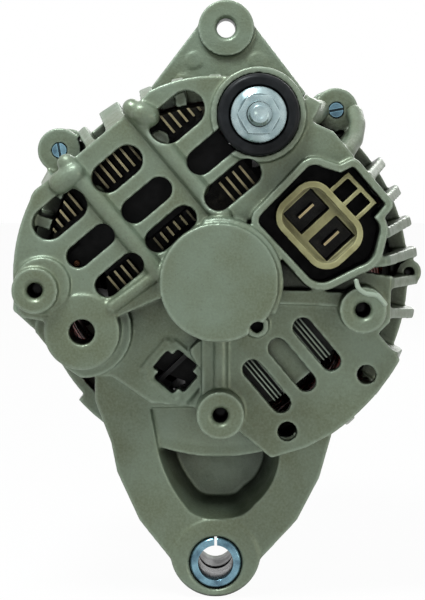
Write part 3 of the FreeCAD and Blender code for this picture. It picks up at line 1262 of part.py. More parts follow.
def make_socket():
    top = MODULE_REAR + SOCKET_LENGTH
    rim = rounded_block(SOCKET_LONG, SOCKET_SHORT, SOCKET_CORNER, MODULE_REAR, top)
    bars = []
    low, high = GUARD_CENTRE - GUARD_HALF, GUARD_CENTRE + GUARD_HALF
    edge = SOCKET_SHORT / 2
    for p in (low, GUARD_CENTRE - GUARD_BAR / 2, high - GUARD_BAR):
        bars.append(socket_box(p, p + GUARD_BAR, edge - 1.0, GUARD_REACH, top - GUARD_DEPTH, top - 1))
    bars.append(socket_box(low, high, GUARD_REACH - GUARD_BAR, GUARD_REACH, top - GUARD_DEPTH, top - 1))
    recess = rounded_block(SOCKET_LONG - 2 * SOCKET_WALL, SOCKET_SHORT - 2 * SOCKET_WALL,
                           SOCKET_CORNER - SOCKET_WALL, top - SOCKET_RECESS, top + 1)
    cuts = [recess]
    blades = []
    floor = MODULE_REAR + SOCKET_FLOOR
    for side in (-1, 1):
        near = side * SOCKET_PARTITION / 2
        far = near + side * PORT_LONG
        p0, p1 = min(near, far), max(near, far)
        cuts.append(socket_box(p0, p1, -PORT_SHORT / 2, PORT_SHORT / 2, floor, top))
        middle = (p0 + p1) / 2
        cuts.append(socket_box(middle - BLADE_SHEET / 2, middle + BLADE_SHEET / 2,
                               -BLADE_WIDTH / 2, BLADE_WIDTH / 2, MODULE_REAR - 1, floor + 1))
        blades.append(socket_box(middle - BLADE_SHEET / 2, middle + BLADE_SHEET / 2,
                                 -BLADE_WIDTH / 2, BLADE_WIDTH / 2, MODULE_REAR, floor + BLADE_LENGTH))
    keep("connector_shell", less(fused([rim] + bars), cuts))
    keep("connector_blades", *blades)


# ---- sliding bush in the foot ----
def make_bush():
    rear = ARM_LEVEL + 0.6
    front = rear - BUSH_LENGTH
    chamfer = 0.8
    body = fused([
        disc(BUSH_OUTER_RADIUS, front, rear - chamfer, FOOT_X, -FOOT_DROP),
        cone(BUSH_OUTER_RADIUS, BUSH_OUTER_RADIUS - chamfer, rear - chamfer, rear, FOOT_X, -FOOT_DROP),
    ])
    slit = Part.makeBox(BUSH_SLIT, BUSH_LENGTH + 2, BUSH_OUTER_RADIUS + 1,
                        V(FOOT_X - BUSH_SLIT / 2, -rear - 1, -FOOT_DROP))
    keep("pivot_bush", less(body, [
        disc(BUSH_INNER_RADIUS, front - 1, rear + 1, FOOT_X, -FOOT_DROP),
        slit,
    ]))


def make_everything():
    make_shaft()
    make_poles()
    make_field_coil()
    make_fans()
    make_slip_rings()
    make_bearing("front_bearing", SHAFT_RADIUS, FRONT_BEARING_RADIUS, FRONT_BALL_RADIUS,
                 FRONT_BEARING, FRONT_BEARING_WIDTH)
    make_bearing("rear_bearing", SHAFT_END_RADIUS, REAR_BEARING_RADIUS, REAR_BALL_RADIUS,
                 REAR_BEARING, REAR_BEARING_WIDTH)
    make_pulley()
    make_stator()
    make_front_bracket()
    make_retainer()
    make_through_bolts()
    make_rear_bracket()
    make_output_stud()
    make_rectifier()
    make_brushes()
    make_regulator()
    make_socket()
    make_bush()


make_everything()
os.makedirs("parts", exist_ok=True)
for name, shape in NODES.items():
    shape.exportStep("parts/" + name + ".step")
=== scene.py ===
import json
import math
import random

import bmesh
import bpy
from mathutils import Matrix, Vector


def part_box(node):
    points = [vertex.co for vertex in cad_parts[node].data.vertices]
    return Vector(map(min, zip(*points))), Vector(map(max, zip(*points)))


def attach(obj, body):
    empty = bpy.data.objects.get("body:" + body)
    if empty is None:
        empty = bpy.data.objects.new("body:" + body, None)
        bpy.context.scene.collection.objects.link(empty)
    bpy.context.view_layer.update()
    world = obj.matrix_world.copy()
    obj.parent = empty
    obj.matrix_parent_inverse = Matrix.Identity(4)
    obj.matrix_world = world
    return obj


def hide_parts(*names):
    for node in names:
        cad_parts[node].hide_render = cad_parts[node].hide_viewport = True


# A car alternator seen from its rear. Metres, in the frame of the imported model: the rotor axis
# is the Y axis, +Z is up, and depth d behind the belt plane lies at y = -d.

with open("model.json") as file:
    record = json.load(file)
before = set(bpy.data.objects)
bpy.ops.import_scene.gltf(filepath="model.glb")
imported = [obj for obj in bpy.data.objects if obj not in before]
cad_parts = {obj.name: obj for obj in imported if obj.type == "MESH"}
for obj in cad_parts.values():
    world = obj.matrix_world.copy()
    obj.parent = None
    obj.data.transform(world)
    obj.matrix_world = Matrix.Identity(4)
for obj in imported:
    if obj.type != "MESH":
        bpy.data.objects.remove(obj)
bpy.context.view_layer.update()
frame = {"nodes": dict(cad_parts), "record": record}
NODES = frame["nodes"]
MM = 0.001
WELD_REACH = 0.005 * MM   # CAD meshes repeat their vertices along every edge


# ---- stations read from the frame ----
def low(node):
    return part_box(node)[0]


def high(node):
    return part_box(node)[1]


def centre(node):
    lowest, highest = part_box(node)
    return (lowest + highest) / 2


def reach(node):
    """Smallest and largest distance of a node's points from the rotor axis."""
    spans = [math.hypot(v.co.x, v.co.z) for v in NODES[node].data.vertices]
    return min(spans), max(spans)


# ---- materials ----
# All sizes are in metres. openness() is 1 on a free surface and falls in a recess: over a few
# millimetres it paints shade into corners, and over DEEP it paints the inside of the housing
# black, as shade.
NOISE_ROUGHNESS = 0.55
SHADE_SAMPLES = 8
SHADE_RANGE = (0.2, 0.8)
EDGE_RANGE = (0.55, 0.9)
# Painted shade: the colour that the deep inside of the housing goes to.
SHADE_BLACK = (0.002, 0.002, 0.002)
DEEP = 40 * MM
DEEP_RANGE = (0.12, 0.45)


def new_material(name):
    material = bpy.data.materials.new(name)
    material.use_nodes = True
    tree = material.node_tree
    tree.nodes.clear()
    output = tree.nodes.new("ShaderNodeOutputMaterial")
    shader = tree.nodes.new("ShaderNodeBsdfPrincipled")
    tree.links.new(shader.outputs["BSDF"], output.inputs["Surface"])
    return material, tree, shader


def place(tree, stretch=(1, 1, 1)):
    """Coordinates in metres, stretched so that grain can run along one axis."""
    where = tree.nodes.new("ShaderNodeTexCoord")
    mapping = tree.nodes.new("ShaderNodeMapping")
    mapping.inputs["Scale"].default_value = stretch
    tree.links.new(where.outputs["Object"], mapping.inputs["Vector"])
    return mapping.outputs["Vector"]


def noise(tree, vector, size, detail=3.0):
    """Noise with features of about that size, in metres."""
    node = tree.nodes.new("ShaderNodeTexNoise")
    node.inputs["Scale"].default_value = 1.0 / size
    node.inputs["Detail"].default_value = detail
    node.inputs["Roughness"].default_value = NOISE_ROUGHNESS
    tree.links.new(vector, node.inputs["Vector"])
    return node.outputs["Fac"]


def spread(tree, value, low_in, high_in, low_out=0.0, high_out=1.0):
    """The value's range low_in to high_in, mapped on low_out to high_out and clamped there."""
    node = tree.nodes.new("ShaderNodeMapRange")
    node.inputs["From Min"].default_value = low_in
    node.inputs["From Max"].default_value = high_in
    node.inputs["To Min"].default_value = low_out
    node.inputs["To Max"].default_value = high_out
    tree.links.new(value, node.inputs["Value"])
    return node.outputs["Result"]


def mixed(tree, factor, first, second):
    """Each of factor, first and second is a socket or a plain value."""
    node = tree.nodes.new("ShaderNodeMix")
    node.data_type = "RGBA"
    colours = [s for s in node.inputs if s.type == "RGBA"]
    for target, value in ((node.inputs["Factor"], factor), (colours[0], first),
                          (colours[1], second)):
        if isinstance(value, (int, float)):
            target.default_value = value
        elif isinstance(value, tuple):
            target.default_value = (*value, 1.0)
        else:
            tree.links.new(value, target)
    return [s for s in node.outputs if s.type == "RGBA"][0]


def relief(tree, shader, height, depth, strength, under=None):
    """A bump of that depth on the shader, laid over the normal of an earlier one if given."""
    node = tree.nodes.new("ShaderNodeBump")
    node.inputs["Distance"].default_value = depth
    node.inputs["Strength"].default_value = strength
    tree.links.new(height, node.inputs["Height"])
    if under is not None:
        tree.links.new(under, node.inputs["Normal"])
    tree.links.new(node.outputs["Normal"], shader.inputs["Normal"])
    return node.outputs["Normal"]


def openness(tree, distance, inside=False):
    """1 on open surfaces and towards 0 in recesses, or with inside, towards 0 at outer edges."""
    node = tree.nodes.new("ShaderNodeAmbientOcclusion")
    node.inputs["Distance"].default_value = distance
    node.samples = SHADE_SAMPLES
    node.inside = inside
    return node.outputs["AO"]


def shaded(tree, colour, distance, dark, range_in=SHADE_RANGE):
    """The colour, going to dark in recesses narrower than the distance, as painted shade."""
    return mixed(tree, spread(tree, openness(tree, distance), *range_in), dark, colour)


def with_edge_highlight_and_wear(tree, colour, distance, bright, share):
    """The colour, with that share of bright on outer edges: a painted highlight, which stands also
    for paint or scale worn there.
    """
    rim = spread(tree, openness(tree, distance, True), *EDGE_RANGE, share, 0.0)
    return mixed(tree, rim, colour, bright)


def scaled(colour, factor):
    return tuple(min(1.0, c * factor) for c in colour)


def cast_aluminium(name, light, dark, corner_shade, edge):
    """Broad patches, bright speckle and dark pits, painted highlight on worn edges, painted shade
    in recesses.
    """
    patch, fleck, pit = 20 * MM, 0.8 * MM, 1.1 * MM
    sheen, swelling, grit = 4 * MM, 3.5 * MM, 0.6 * MM
    # worn is the reach of the painted edge highlight, corner that of the painted shade in corners.
    worn, corner = 1.6 * MM, 7 * MM
    material, tree, shader = new_material(name)
    vector = place(tree)
    patches = spread(tree, noise(tree, vector, patch, 4.0), 0.36, 0.66)
    speckle = spread(tree, noise(tree, vector, fleck, 2.0), 0.35, 0.70, 0.0, 0.35)
    colour = mixed(tree, patches, dark, light)
    colour = mixed(tree, speckle, colour, scaled(light, 1.30))
    pits = spread(tree, noise(tree, vector, pit), 0.28, 0.38, 0.25, 0.0)
    colour = mixed(tree, pits, colour, scaled(dark, 0.55))
    # Painted highlight on outer edges, which stands also for wear.
    colour = with_edge_highlight_and_wear(tree, colour, worn, edge, 0.75)
    # Painted shade in corners and recesses.
    colour = shaded(tree, colour, corner, corner_shade, (0.08, 0.62))
    # Painted shade: deep inside the housing the colour goes to black.
    colour = shaded(tree, colour, DEEP, SHADE_BLACK, DEEP_RANGE)
    tree.links.new(colour, shader.inputs["Base Color"])
    shader.inputs["Metallic"].default_value = 0.35
    rough = spread(tree, noise(tree, vector, sheen), 0.3, 0.7, 0.30, 0.48)
    tree.links.new(rough, shader.inputs["Roughness"])
    skin = relief(tree, shader, noise(tree, vector, swelling), 0.3 * MM, 0.6)
    relief(tree, shader, noise(tree, vector, grit, 2.0), 0.1 * MM, 0.8, skin)
    return material


def plain_metal(name, light, dark, metallic=0.9, rough=(0.25, 0.4), stretch=(1, 1, 1),
                depth=0.02 * MM, patch=6 * MM, recess=3 * MM, shadow=0.3, near=SHADE_RANGE):
    """Bare or plated metal. Grain of that depth, and shadow times the dark colour in recesses."""
    grain, worn = 0.8 * MM, 0.5 * MM
    material, tree, shader = new_material(name)
    vector = place(tree, stretch)
    colour = mixed(tree, spread(tree, noise(tree, vector, patch, 4.0), 0.35, 0.65), dark, light)
    # Painted highlight on outer edges, which stands also for wear; worn is its reach.
    colour = with_edge_highlight_and_wear(tree, colour, worn, scaled(light, 1.5), 0.5)
    # Painted shade in recesses: shadow times the dark colour.
    colour = shaded(tree, colour, recess, scaled(dark, shadow), near)
    # Painted shade: deep inside the housing the colour goes to black.
    colour = shaded(tree, colour, DEEP, SHADE_BLACK, DEEP_RANGE)
    tree.links.new(colour, shader.inputs["Base Color"])
    shader.inputs["Metallic"].default_value = metallic
    spots = spread(tree, noise(tree, vector, patch * 0.4), 0.3, 0.7, *rough)
    tree.links.new(spots, shader.inputs["Roughness"])
    relief(tree, shader, noise(tree, vector, grain, 2.0), depth, 0.7)
    return material


def moulded_plastic(name, light, dark, rough=(0.35, 0.5), recess=3 * MM, shadow=0.45,
                    edge=1.5, gloss=0.3):
    """Matt plastic, edge times its light colour as a painted highlight on outer edges, also worn by
    rubbing.
    """
    patch, rub_and_highlight_reach, sheen, grain, depth = 5 * MM, 0.6 * MM, 2 * MM, 0.5 * MM, 0.03 * MM
    material, tree, shader = new_material(name)
    vector = place(tree)
    colour = mixed(tree, spread(tree, noise(tree, vector, patch, 4.0), 0.35, 0.65), dark, light)
    # Painted highlight on outer edges, which stands also for rubbing.
    colour = with_edge_highlight_and_wear(tree, colour, rub_and_highlight_reach, scaled(light, edge), 0.7)
    # Painted shade in recesses: shadow times the dark colour.
    colour = shaded(tree, colour, recess, scaled(dark, shadow))
    # Painted shade: deep inside the housing the colour goes to black.
    colour = shaded(tree, colour, DEEP, SHADE_BLACK, DEEP_RANGE)
    tree.links.new(colour, shader.inputs["Base Color"])
    shader.inputs["Specular IOR Level"].default_value = gloss
    worn = spread(tree, noise(tree, vector, sheen), 0.3, 0.7, *rough)
    tree.links.new(worn, shader.inputs["Roughness"])
    relief(tree, shader, noise(tree, vector, grain, 2.0), depth, 0.7)
    return material


def enamelled_wire(name):
    """Red enamel under varnish, darker where the varnish is thick, with painted shade among the
    coils.
    """
    light, dark, inside = (0.50, 0.055, 0.020), (0.16, 0.014, 0.006), (0.004, 0.001, 0.001)
    streak, sheen, grain, depth, recess = 3 * MM, 1.5 * MM, 0.9 * MM, 0.04 * MM, 30 * MM
    material, tree, shader = new_material(name)
    vector = place(tree)
    streaks = spread(tree, noise(tree, vector, streak, 4.0), 0.35, 0.65)
    colour = mixed(tree, streaks, dark, light)
    # Painted shade: towards inside, near black, deep among the coils.
    colour = shaded(tree, colour, recess, inside, (0.10, 0.50))
    tree.links.new(colour, shader.inputs["Base Color"])
    varnish = spread(tree, noise(tree, vector, sheen), 0.3, 0.7, 0.22, 0.42)
    tree.links.new(varnish, shader.inputs["Roughness"])
    shader.inputs["Coat Weight"].default_value = 0.3
    shader.inputs["Coat Roughness"].default_value = 0.2
    relief(tree, shader, noise(tree, vector, grain, 2.0), depth, 0.6)
    return material


def sheet_stack(name):
    """Dull steel sheets with a bloom of rust, rougher where it is rusty, and painted shade in
    recesses.
    """
    steel, rusty, inside = (0.05, 0.052, 0.05), (0.15, 0.13, 0.10), (0.012, 0.012, 0.010)
    patch, recess, grain, depth = 9 * MM, 4 * MM, 0.7 * MM, 0.05 * MM
    material, tree, shader = new_material(name)
    vector = place(tree)
    rust = spread(tree, noise(tree, vector, patch, 4.0), 0.35, 0.7)
    colour = mixed(tree, rust, steel, rusty)
    # Painted shade in recesses: towards inside, a near black.
    colour = shaded(tree, colour, recess, inside)
    tree.links.new(colour, shader.inputs["Base Color"])
    shader.inputs["Metallic"].default_value = 0.5
    tree.links.new(spread(tree, rust, 0, 1, 0.4, 0.65), shader.inputs["Roughness"])
    relief(tree, shader, noise(tree, vector, grain, 2.0), depth, 0.7)
    return material


# One material for each material slot of the record, each with its light and its dark colour.
MATERIALS = {
    # Cast aluminium: light and dark tone, then the painted corner shade, then the painted edge
    # highlight.
    "cast_aluminium": cast_aluminium("cast_aluminium", (0.162, 0.204, 0.150), (0.118, 0.138, 0.084),
                                     (0.030, 0.031, 0.014), (0.40, 0.48, 0.39)),
    "lamination": sheet_stack("lamination"),
    "enamelled_copper": enamelled_wire("enamelled_copper"),
    "pole_steel": plain_metal("pole_steel", (0.055, 0.055, 0.06), (0.03, 0.03, 0.033), 0.5,
                              (0.45, 0.6), depth=0.05 * MM),
    "machined_steel": plain_metal("machined_steel", (0.42, 0.43, 0.43), (0.30, 0.31, 0.31),
                                  stretch=(1, 6, 1)),
    "zinc_plate": plain_metal("zinc_plate", (0.44, 0.55, 0.56), (0.24, 0.33, 0.35), 0.85,
                              (0.2, 0.36), shadow=0.15, recess=2 * MM),
    "bearing_steel": plain_metal("bearing_steel", (0.50, 0.50, 0.50), (0.38, 0.38, 0.39), 1.0,
                                 (0.12, 0.22), depth=0.008 * MM),
    "bronze_fins": plain_metal("bronze_fins", (0.48, 0.43, 0.26), (0.30, 0.25, 0.13), 0.6,
                               (0.35, 0.55), patch=4 * MM, recess=6 * MM, shadow=0.03,
                               near=(0.38, 0.80)),
    "black_plastic": moulded_plastic("black_plastic", (0.016, 0.017, 0.019), (0.006, 0.007, 0.008),
                                     (0.30, 0.45), edge=2.5, gloss=0.12),
    "tan_plastic": moulded_plastic("tan_plastic", (0.36, 0.34, 0.18), (0.25, 0.23, 0.11),
                                   recess=6 * MM, shadow=0.10, edge=1.8),
    "copper": plain_metal("copper", (0.55, 0.26, 0.13), (0.32, 0.14, 0.07), 0.95, (0.2, 0.4)),
    "carbon": moulded_plastic("carbon", (0.03, 0.03, 0.033), (0.018, 0.018, 0.02), (0.5, 0.7)),
    "spring_steel": plain_metal("spring_steel", (0.38, 0.38, 0.40), (0.28, 0.28, 0.3)),
    "brass_blade": plain_metal("brass_blade", (0.40, 0.34, 0.19), (0.24, 0.20, 0.11), 0.9,
                               (0.25, 0.4)),
    "fan_steel": plain_metal("fan_steel", (0.11, 0.11, 0.11), (0.06, 0.06, 0.06), 0.6, (0.4, 0.55)),
}
# Some zinc-plated parts in the photograph have a bluer plating.
BLUE_ZINC = plain_metal("blue_zinc", (0.20, 0.36, 0.44), (0.08, 0.15, 0.20), 0.85, (0.16, 0.34),
                        patch=4 * MM, shadow=0.2)


def dress(node, material):
    materials = NODES[node].data.materials
    materials.clear()
    materials.append(material)


for part in frame["record"]["subparts"]:
    dress(part["node"], MATERIALS[part["material_slot"]])
for blue in ("through_bolts", "pivot_bush"):
    dress(blue, BLUE_ZINC)


# ---- soft edges on what is cast or moulded, broken edges on what is machined ----
SMOOTH_SHARE = 0.5
BEVEL_SEGMENTS = 2
SHARPEST_KEPT = math.radians(40)


def soften(piece, voxel, passes):
    """One skin over all of a piece's solids, rounded by that many smoothing passes."""
    weld = piece.modifiers.new("weld", "WELD")
    weld.merge_threshold = WELD_REACH
    remesh = piece.modifiers.new("skin", "REMESH")
    remesh.mode = "VOXEL"
    remesh.voxel_size = voxel
    remesh.use_smooth_shade = True
    smooth = piece.modifiers.new("round", "SMOOTH")
    smooth.factor = SMOOTH_SHARE
    smooth.iterations = passes


def break_edges(node, width):
    piece = NODES[node]
    weld = piece.modifiers.new("weld", "WELD")
    weld.merge_threshold = WELD_REACH
    bevel = piece.modifiers.new("edges", "BEVEL")
    bevel.width = width
    bevel.segments = BEVEL_SEGMENTS
    bevel.limit_method = "ANGLE"
    bevel.angle_limit = SHARPEST_KEPT
    bevel.harden_normals = True


soften(NODES["front_bracket"], 0.5 * MM, 2)
soften(NODES["connector_shell"], 0.25 * MM, 3)
# Nodes and the width of their broken edges, in mm.
for node, width in (("output_nut", 0.35), ("stud_insulator", 0.5), ("through_bolts", 0.2),
                    ("pivot_bush", 0.35), ("pulley", 0.3), ("pulley_nut", 0.5),
                    ("pulley_washer", 0.4), ("rotor_shaft", 0.3), ("rectifier_screws", 0.15),
                    ("regulator_screws", 0.15), ("retainer_screws", 0.15),
                    ("connector_blades", 0.12), ("regulator_module", 0.4),
                    ("brush_holder", 0.3), ("bearing_retainer_plate", 0.3),
                    ("rectifier_terminal_plate", 0.4)):
    break_edges(node, width * MM)


# ---- pieces built here in place of their CAD nodes ----
def new_piece(name, mesh, body, slot, *nodes):
    piece = bpy.data.objects.new(name, mesh)
    bpy.context.scene.collection.objects.link(piece)
    mesh.materials.append(MATERIALS[slot])
    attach(piece, body)
    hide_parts(*nodes)
    return piece


def polar(radius, angle):
    return radius * math.cos(angle), radius * math.sin(angle)


def add_wire(mesh, path, radius, sides):
    """A closed wire through the path's points, each at some distance from the rotor axis."""
    rings = []
    count = len(path)
    for index, point in enumerate(path):
        along = (path[(index + 1) % count] - path[index - 1]).normalized()
        outward = Vector((point.x, 0, point.z)).normalized()
        aside = along.cross(outward).normalized()
        up = aside.cross(along)
        turn = [2 * math.pi * side / sides for side in range(sides)]
        rings.append([mesh.verts.new(point + radius * (math.cos(t) * aside + math.sin(t) * up))
                      for t in turn])
    for first, second in zip(rings, rings[1:] + rings[:1]):
        for side in range(sides):
            after = (side + 1) % sides
            mesh.faces.new((first[side], first[after], second[after], second[side])).smooth = True


def make_coils():
    """Lap winding: each coil lies in the outer half of one slot and the inner half of another."""
    slots = 36
    pitch = 2 * math.pi / slots
    span = 3                            # slots from one half to the other
    rows = 4
    wire = 0.56 * MM                    # radius
    sides = 6
    row_step = 2.05 * wire
    column_step = 2.3 * wire
    first_row = 2.6 * MM                # from the bore to the innermost row
    half_gap = 0.4 * MM                 # between the two halves of a slot
    row_drop, ragged = 0.13, 0.08       # shares of an end turn's height
    blunt, shoulder = 2.6, 1 / 2.2      # exponents of an end turn's outline
    steps = 12                          # along an end turn
    inner, outer = reach("stator_winding")
    front, rear = high("stator_winding").y - wire, low("stator_winding").y + wire
    stack_front, stack_rear = high("stator_core").y, low("stator_core").y
    bore = reach("stator_core")[0]
    draw = random.Random(7)
    mesh = bmesh.new()
    for slot in range(slots):
        for row in range(rows):
            for column in (-0.5, 0.5):
                aside = column * column_step
                near = bore + first_row + row * row_step
                far = near + rows * row_step + half_gap
                path = []
                for face, end in ((stack_rear, rear), (stack_front, front)):
                    rise = (end - face) * (1 - row_drop * row - ragged * draw.random())
                    points = []
                    for index in range(steps + 1):
                        share = index / steps
                        lift = (1 - abs(2 * share - 1) ** blunt) ** shoulder
                        radius = far + (near - far) * share
                        radius = min(max(radius, inner + wire), outer - wire)
                        angle = (slot + span * share) * pitch + aside / radius
                        x, z = polar(radius, angle)
                        points.append(Vector((x, face + rise * lift, z)))
                    path += points if end == rear else points[::-1]
                add_wire(mesh, path, wire, sides)
    data = bpy.data.meshes.new("stator_coils")
    mesh.to_mesh(data)
    mesh.free()
    new_piece("stator_coils", data, "housing", "enamelled_copper", "stator_winding")


def make_sheets():
    """The core as separate punched sheets, each cut from the CAD core's end face."""
    sheets = 40
    gap = 0.07 * MM
    facing_front = 0.9      # least y of a normal on the front end face
    straight = 0.02         # radians, below which an edge of that face is dissolved
    top, bottom = high("stator_core").y, low("stator_core").y
    step = (top - bottom + gap) / sheets
    source = bmesh.new()
    source.from_mesh(NODES["stator_core"].data)
    bmesh.ops.remove_doubles(source, verts=source.verts, dist=WELD_REACH)
    away = [f for f in source.faces
            if f.normal.y < facing_front or f.calc_center_median().y < top - MM]
    bmesh.ops.delete(source, geom=away, context="FACES")
    bmesh.ops.dissolve_limit(source, angle_limit=straight, verts=source.verts, edges=source.edges)
    bmesh.ops.triangulate(source, faces=source.faces)
    made = bmesh.ops.extrude_face_region(source, geom=source.faces[:])
    moved = [v for v in made["geom"] if isinstance(v, bmesh.types.BMVert)]
    bmesh.ops.translate(source, verts=moved, vec=(0, gap - step, 0))
    bmesh.ops.recalc_face_normals(source, faces=source.faces)
    sheet = bpy.data.meshes.new("sheet")
    source.to_mesh(sheet)
    source.free()
    stack = bmesh.new()
    for index in range(sheets):
        first = len(stack.verts)
        stack.from_mesh(sheet)
        stack.verts.ensure_lookup_table()
        bmesh.ops.translate(stack, verts=stack.verts[first:], vec=(0, -index * step, 0))
    data = bpy.data.meshes.new("core_sheets")
    stack.to_mesh(data)
    stack.free()
    bpy.data.meshes.remove(sheet)
    new_piece("core_sheets", data, "housing", "lamination", "stator_core")


def add_ridge(mesh, points, radius):
    """A rounded ridge through the points, to be fused with a casting by the remesh."""
    sides = 20
    for point in points:
        bmesh.ops.create_icosphere(mesh, subdivisions=2, radius=radius,
                                   matrix=Matrix.Translation(point))
    for first, second in zip(points, points[1:]):
        along = second - first
        turn = along.to_track_quat("Z", "Y").to_matrix().to_4x4()
        bmesh.ops.create_cone(mesh, cap_ends=True, segments=sides, radius1=radius, radius2=radius,
                              depth=along.length,
                              matrix=Matrix.Translation((first + second) / 2) @ turn)


def make_rear_casting():
    """The rear bracket with the swellings and lips that a casting has, fused and rounded."""
    rearmost = low("rear_bracket").y
    voxel, passes = 0.5 * MM, 5
    mesh = bmesh.new()
    mesh.from_mesh(NODES["rear_bracket"].data)
    bmesh.ops.remove_doubles(mesh, verts=mesh.verts, dist=WELD_REACH)
    # Points as x, z and distance in front of the rearmost surface, then the radius, all in mm.
    ridges = (
        (((-25.0, 54.0, 10.2), (-22.6, 52.8, 10.8)), 3.8),
        (((-46.6, 34.6, 10.4), (-51.2, 31.4, 11.2)), 3.8),
        (((43.8, 0.6, 3.2), (44.4, -1.9, 2.8), (46.6, -3.5, 2.7), (50.5, -4.1, 2.7),
          (53.2, -7.0, 2.9)), 0.9),
        (((45.4, 54.4, 38.5), (46.0, 50.5, 33.0), (44.6, 45.4, 25.0), (41.0, 41.0, 15.5)), 2.8),
        (((26.0, 50.6, 14.0), (30.6, 53.2, 24.0), (33.4, 55.2, 36.0)), 3.6),
    )
    for points, radius in ridges:
        path = [Vector((x * MM, rearmost + down * MM, z * MM)) for x, z, down in points]
        add_ridge(mesh, path, radius * MM)
    data = bpy.data.meshes.new("rear_casting")
    mesh.to_mesh(data)
    mesh.free()
    piece = new_piece("rear_casting", data, "housing", "cast_aluminium", "rear_bracket")
    soften(piece, voxel, passes)


def make_stud():
    """Threaded stud with a rounded end that has a shallow centre dimple."""
    around = 48
    pitch = 1.25 * MM
    depth = 0.45 * MM
    crest_over_cad = 0.25 * MM
    under_nut = 0.3 * MM    # where the thread starts, behind the nut's outer face
    last_turn = 1.4 * MM    # where it ends, in front of the tip
    plain_step = 1.5 * MM
    # The end, in mm: distance in front of the tip, and inset from the thread's crest.
    end = ((1.2, 0.45), (0.6, 0.9), (0.1, 1.15), (0, 1.35), (0, 2.3), (0.3, 2.6), (0.35, 3.3))
    lowest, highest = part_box("output_stud")
    axis_x, axis_z = centre("output_stud").x, centre("output_stud").z
    widest = (highest.x - lowest.x) / 2
    nut_top = low("output_nut").y
    shown = [v.co for v in NODES["output_stud"].data.vertices if v.co.y < nut_top - MM]
    crest = max(math.hypot(p.x - axis_x, p.z - axis_z) for p in shown) + crest_over_cad
    tip = lowest.y
    stations = []
    y = highest.y
    while y > nut_top - under_nut:
        stations.append((y, min(widest, crest), 0.0))
        y -= plain_step
    y = nut_top - under_nut
    while y > tip + last_turn:
        stations.append((y, crest, 1.0))
        y -= pitch / 8
    stations += [(tip + rise * MM, crest - inset * MM, 0.0) for rise, inset in end]
    mesh = bmesh.new()
    rings = []
    for y, radius, cut in stations:
        ring = []
        for side in range(around):
            turn = side / around
            phase = (y / pitch + turn) % 1.0
            at = radius - cut * depth * abs(2 * phase - 1)
            x, z = polar(at, 2 * math.pi * turn)
            ring.append(mesh.verts.new((axis_x + x, y, axis_z + z)))
        rings.append(ring)
    for first, second in zip(rings, rings[1:]):
        for side in range(around):
            after = (side + 1) % around
            face = mesh.faces.new((first[side], second[side], second[after], first[after]))
            face.smooth = True
    mesh.faces.new(rings[0])
    mesh.faces.new(rings[-1][::-1])
    bmesh.ops.recalc_face_normals(mesh, faces=mesh.faces)
    data = bpy.data.meshes.new("threaded_stud")
    mesh.to_mesh(data)
    mesh.free()
    new_piece("threaded_stud", data, "housing", "zinc_plate", "output_stud")


make_coils()
make_sheets()
make_stud()
make_rear_casting()


# ---- room, light and camera ----
WHITE_RAYS = ("Is Camera Ray", "Is Glossy Ray", "Is Transmission Ray")


def white_share(tree, amount):
    """A value that is amount for the rays that should see plain white, and 0 for all others."""
    path = tree.nodes.new("ShaderNodeLightPath")
    total = path.outputs[WHITE_RAYS[0]]
    for ray in WHITE_RAYS[1:]:
        node = tree.nodes.new("ShaderNodeMath")
        node.operation = "MAXIMUM"
        tree.links.new(total, node.inputs[0])
        tree.links.new(path.outputs[ray], node.inputs[1])
        total = node.outputs[0]
    share = tree.nodes.new("ShaderNodeMath")
    share.operation = "MULTIPLY"
    share.inputs[1].default_value = amount
    tree.links.new(total, share.inputs[0])
    return share.outputs[0]


def stage_material(name, colour, white):
    material, tree, shader = new_material(name)
    shader.inputs["Base Color"].default_value = (*colour, 1)
    shader.inputs["Roughness"].default_value = 0.9
    glow = tree.nodes.new("ShaderNodeEmission")
    glow.inputs["Color"].default_value = (1, 1, 1, 1)
    mix = tree.nodes.new("ShaderNodeMixShader")
    tree.links.new(white_share(tree, white), mix.inputs[0])
    tree.links.new(shader.outputs[0], mix.inputs[1])
    tree.links.new(glow.outputs[0], mix.inputs[2])
    tree.links.new(mix.outputs[0], tree.nodes["Material Output"].inputs["Surface"])
    return material


def make_floor(level):
    half_width, squares, grey, whiteness = 3.0, 8, (0.9, 0.9, 0.9), 0.96
    grid = bmesh.new()
    bmesh.ops.create_grid(grid, x_segments=squares, y_segments=squares, size=half_width)
    mesh = bpy.data.meshes.new("floor")
    grid.to_mesh(mesh)
    grid.free()
    floor = bpy.data.objects.new("floor", mesh)
    floor.location = (0, 0, level)
    bpy.context.scene.collection.objects.link(floor)
    mesh.materials.append(stage_material("floor", grey, whiteness))


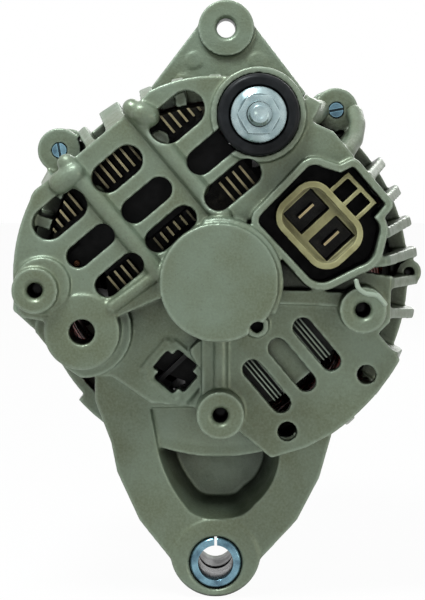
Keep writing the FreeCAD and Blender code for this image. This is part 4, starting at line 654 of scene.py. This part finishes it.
def make_world(level):
    world = bpy.data.worlds.new("studio")
    bpy.context.scene.world = world
    world.use_nodes = True
    tree = world.node_tree
    tree.nodes.clear()
    output = tree.nodes.new("ShaderNodeOutputWorld")
    plain = tree.nodes.new("ShaderNodeBackground")
    plain.inputs["Color"].default_value = (0.95, 1.0, 0.98, 1)
    plain.inputs["Strength"].default_value = level
    white = tree.nodes.new("ShaderNodeBackground")
    white.inputs["Color"].default_value = (1, 1, 1, 1)
    white.inputs["Strength"].default_value = 1.0
    mix = tree.nodes.new("ShaderNodeMixShader")
    tree.links.new(white_share(tree, 1.0), mix.inputs[0])
    tree.links.new(plain.outputs[0], mix.inputs[1])
    tree.links.new(white.outputs[0], mix.inputs[2])
    tree.links.new(mix.outputs[0], output.inputs["Surface"])


def make_lamp(name, position, aim, size, watts, colour):
    lamp = bpy.data.lights.new(name, "AREA")
    lamp.shape = "DISK"
    lamp.size = size
    lamp.energy = watts
    lamp.color = colour
    holder = bpy.data.objects.new(name, lamp)
    holder.location = position
    holder.rotation_euler = (Vector(aim) - Vector(position)).to_track_quat("-Z", "Y").to_euler()
    bpy.context.scene.collection.objects.link(holder)


def make_camera():
    """Behind the rear bracket and above its centre, looking forward and slightly down."""
    lens, sensor = 122.8, 36.0
    position, tilt_down = (-0.00206, -0.7844, 0.0453), 4.47
    data = bpy.data.cameras.new("camera")
    data.lens = lens
    data.sensor_width = sensor
    data.clip_start = 10 * MM
    holder = bpy.data.objects.new("camera", data)
    holder.location = position
    holder.rotation_euler = (math.radians(90 - tilt_down), 0, 0)
    bpy.context.scene.collection.objects.link(holder)
    bpy.context.scene.camera = holder


FLOOR_GAP = 0.2 * MM
WORLD_LEVEL = 0.20
make_floor(low("rear_bracket").z - FLOOR_GAP)
make_world(WORLD_LEVEL)
rear = (-0.01, low("rear_bracket").y, 0.01)
make_lamp("key", (-0.13, -0.29, 0.42), rear, size=0.16, watts=2.7, colour=(0.93, 1.0, 1.0))
make_lamp("fill", (0.45, -0.55, -0.12), rear, size=0.4, watts=1.1, colour=(1.0, 0.95, 0.80))
make_lamp("front", (0.30, 0.70, 0.45), (0, 0, 0), size=0.5, watts=3.0, colour=(1.0, 1.0, 1.0))
make_camera()
bpy.context.scene.view_settings.view_transform = "Standard"
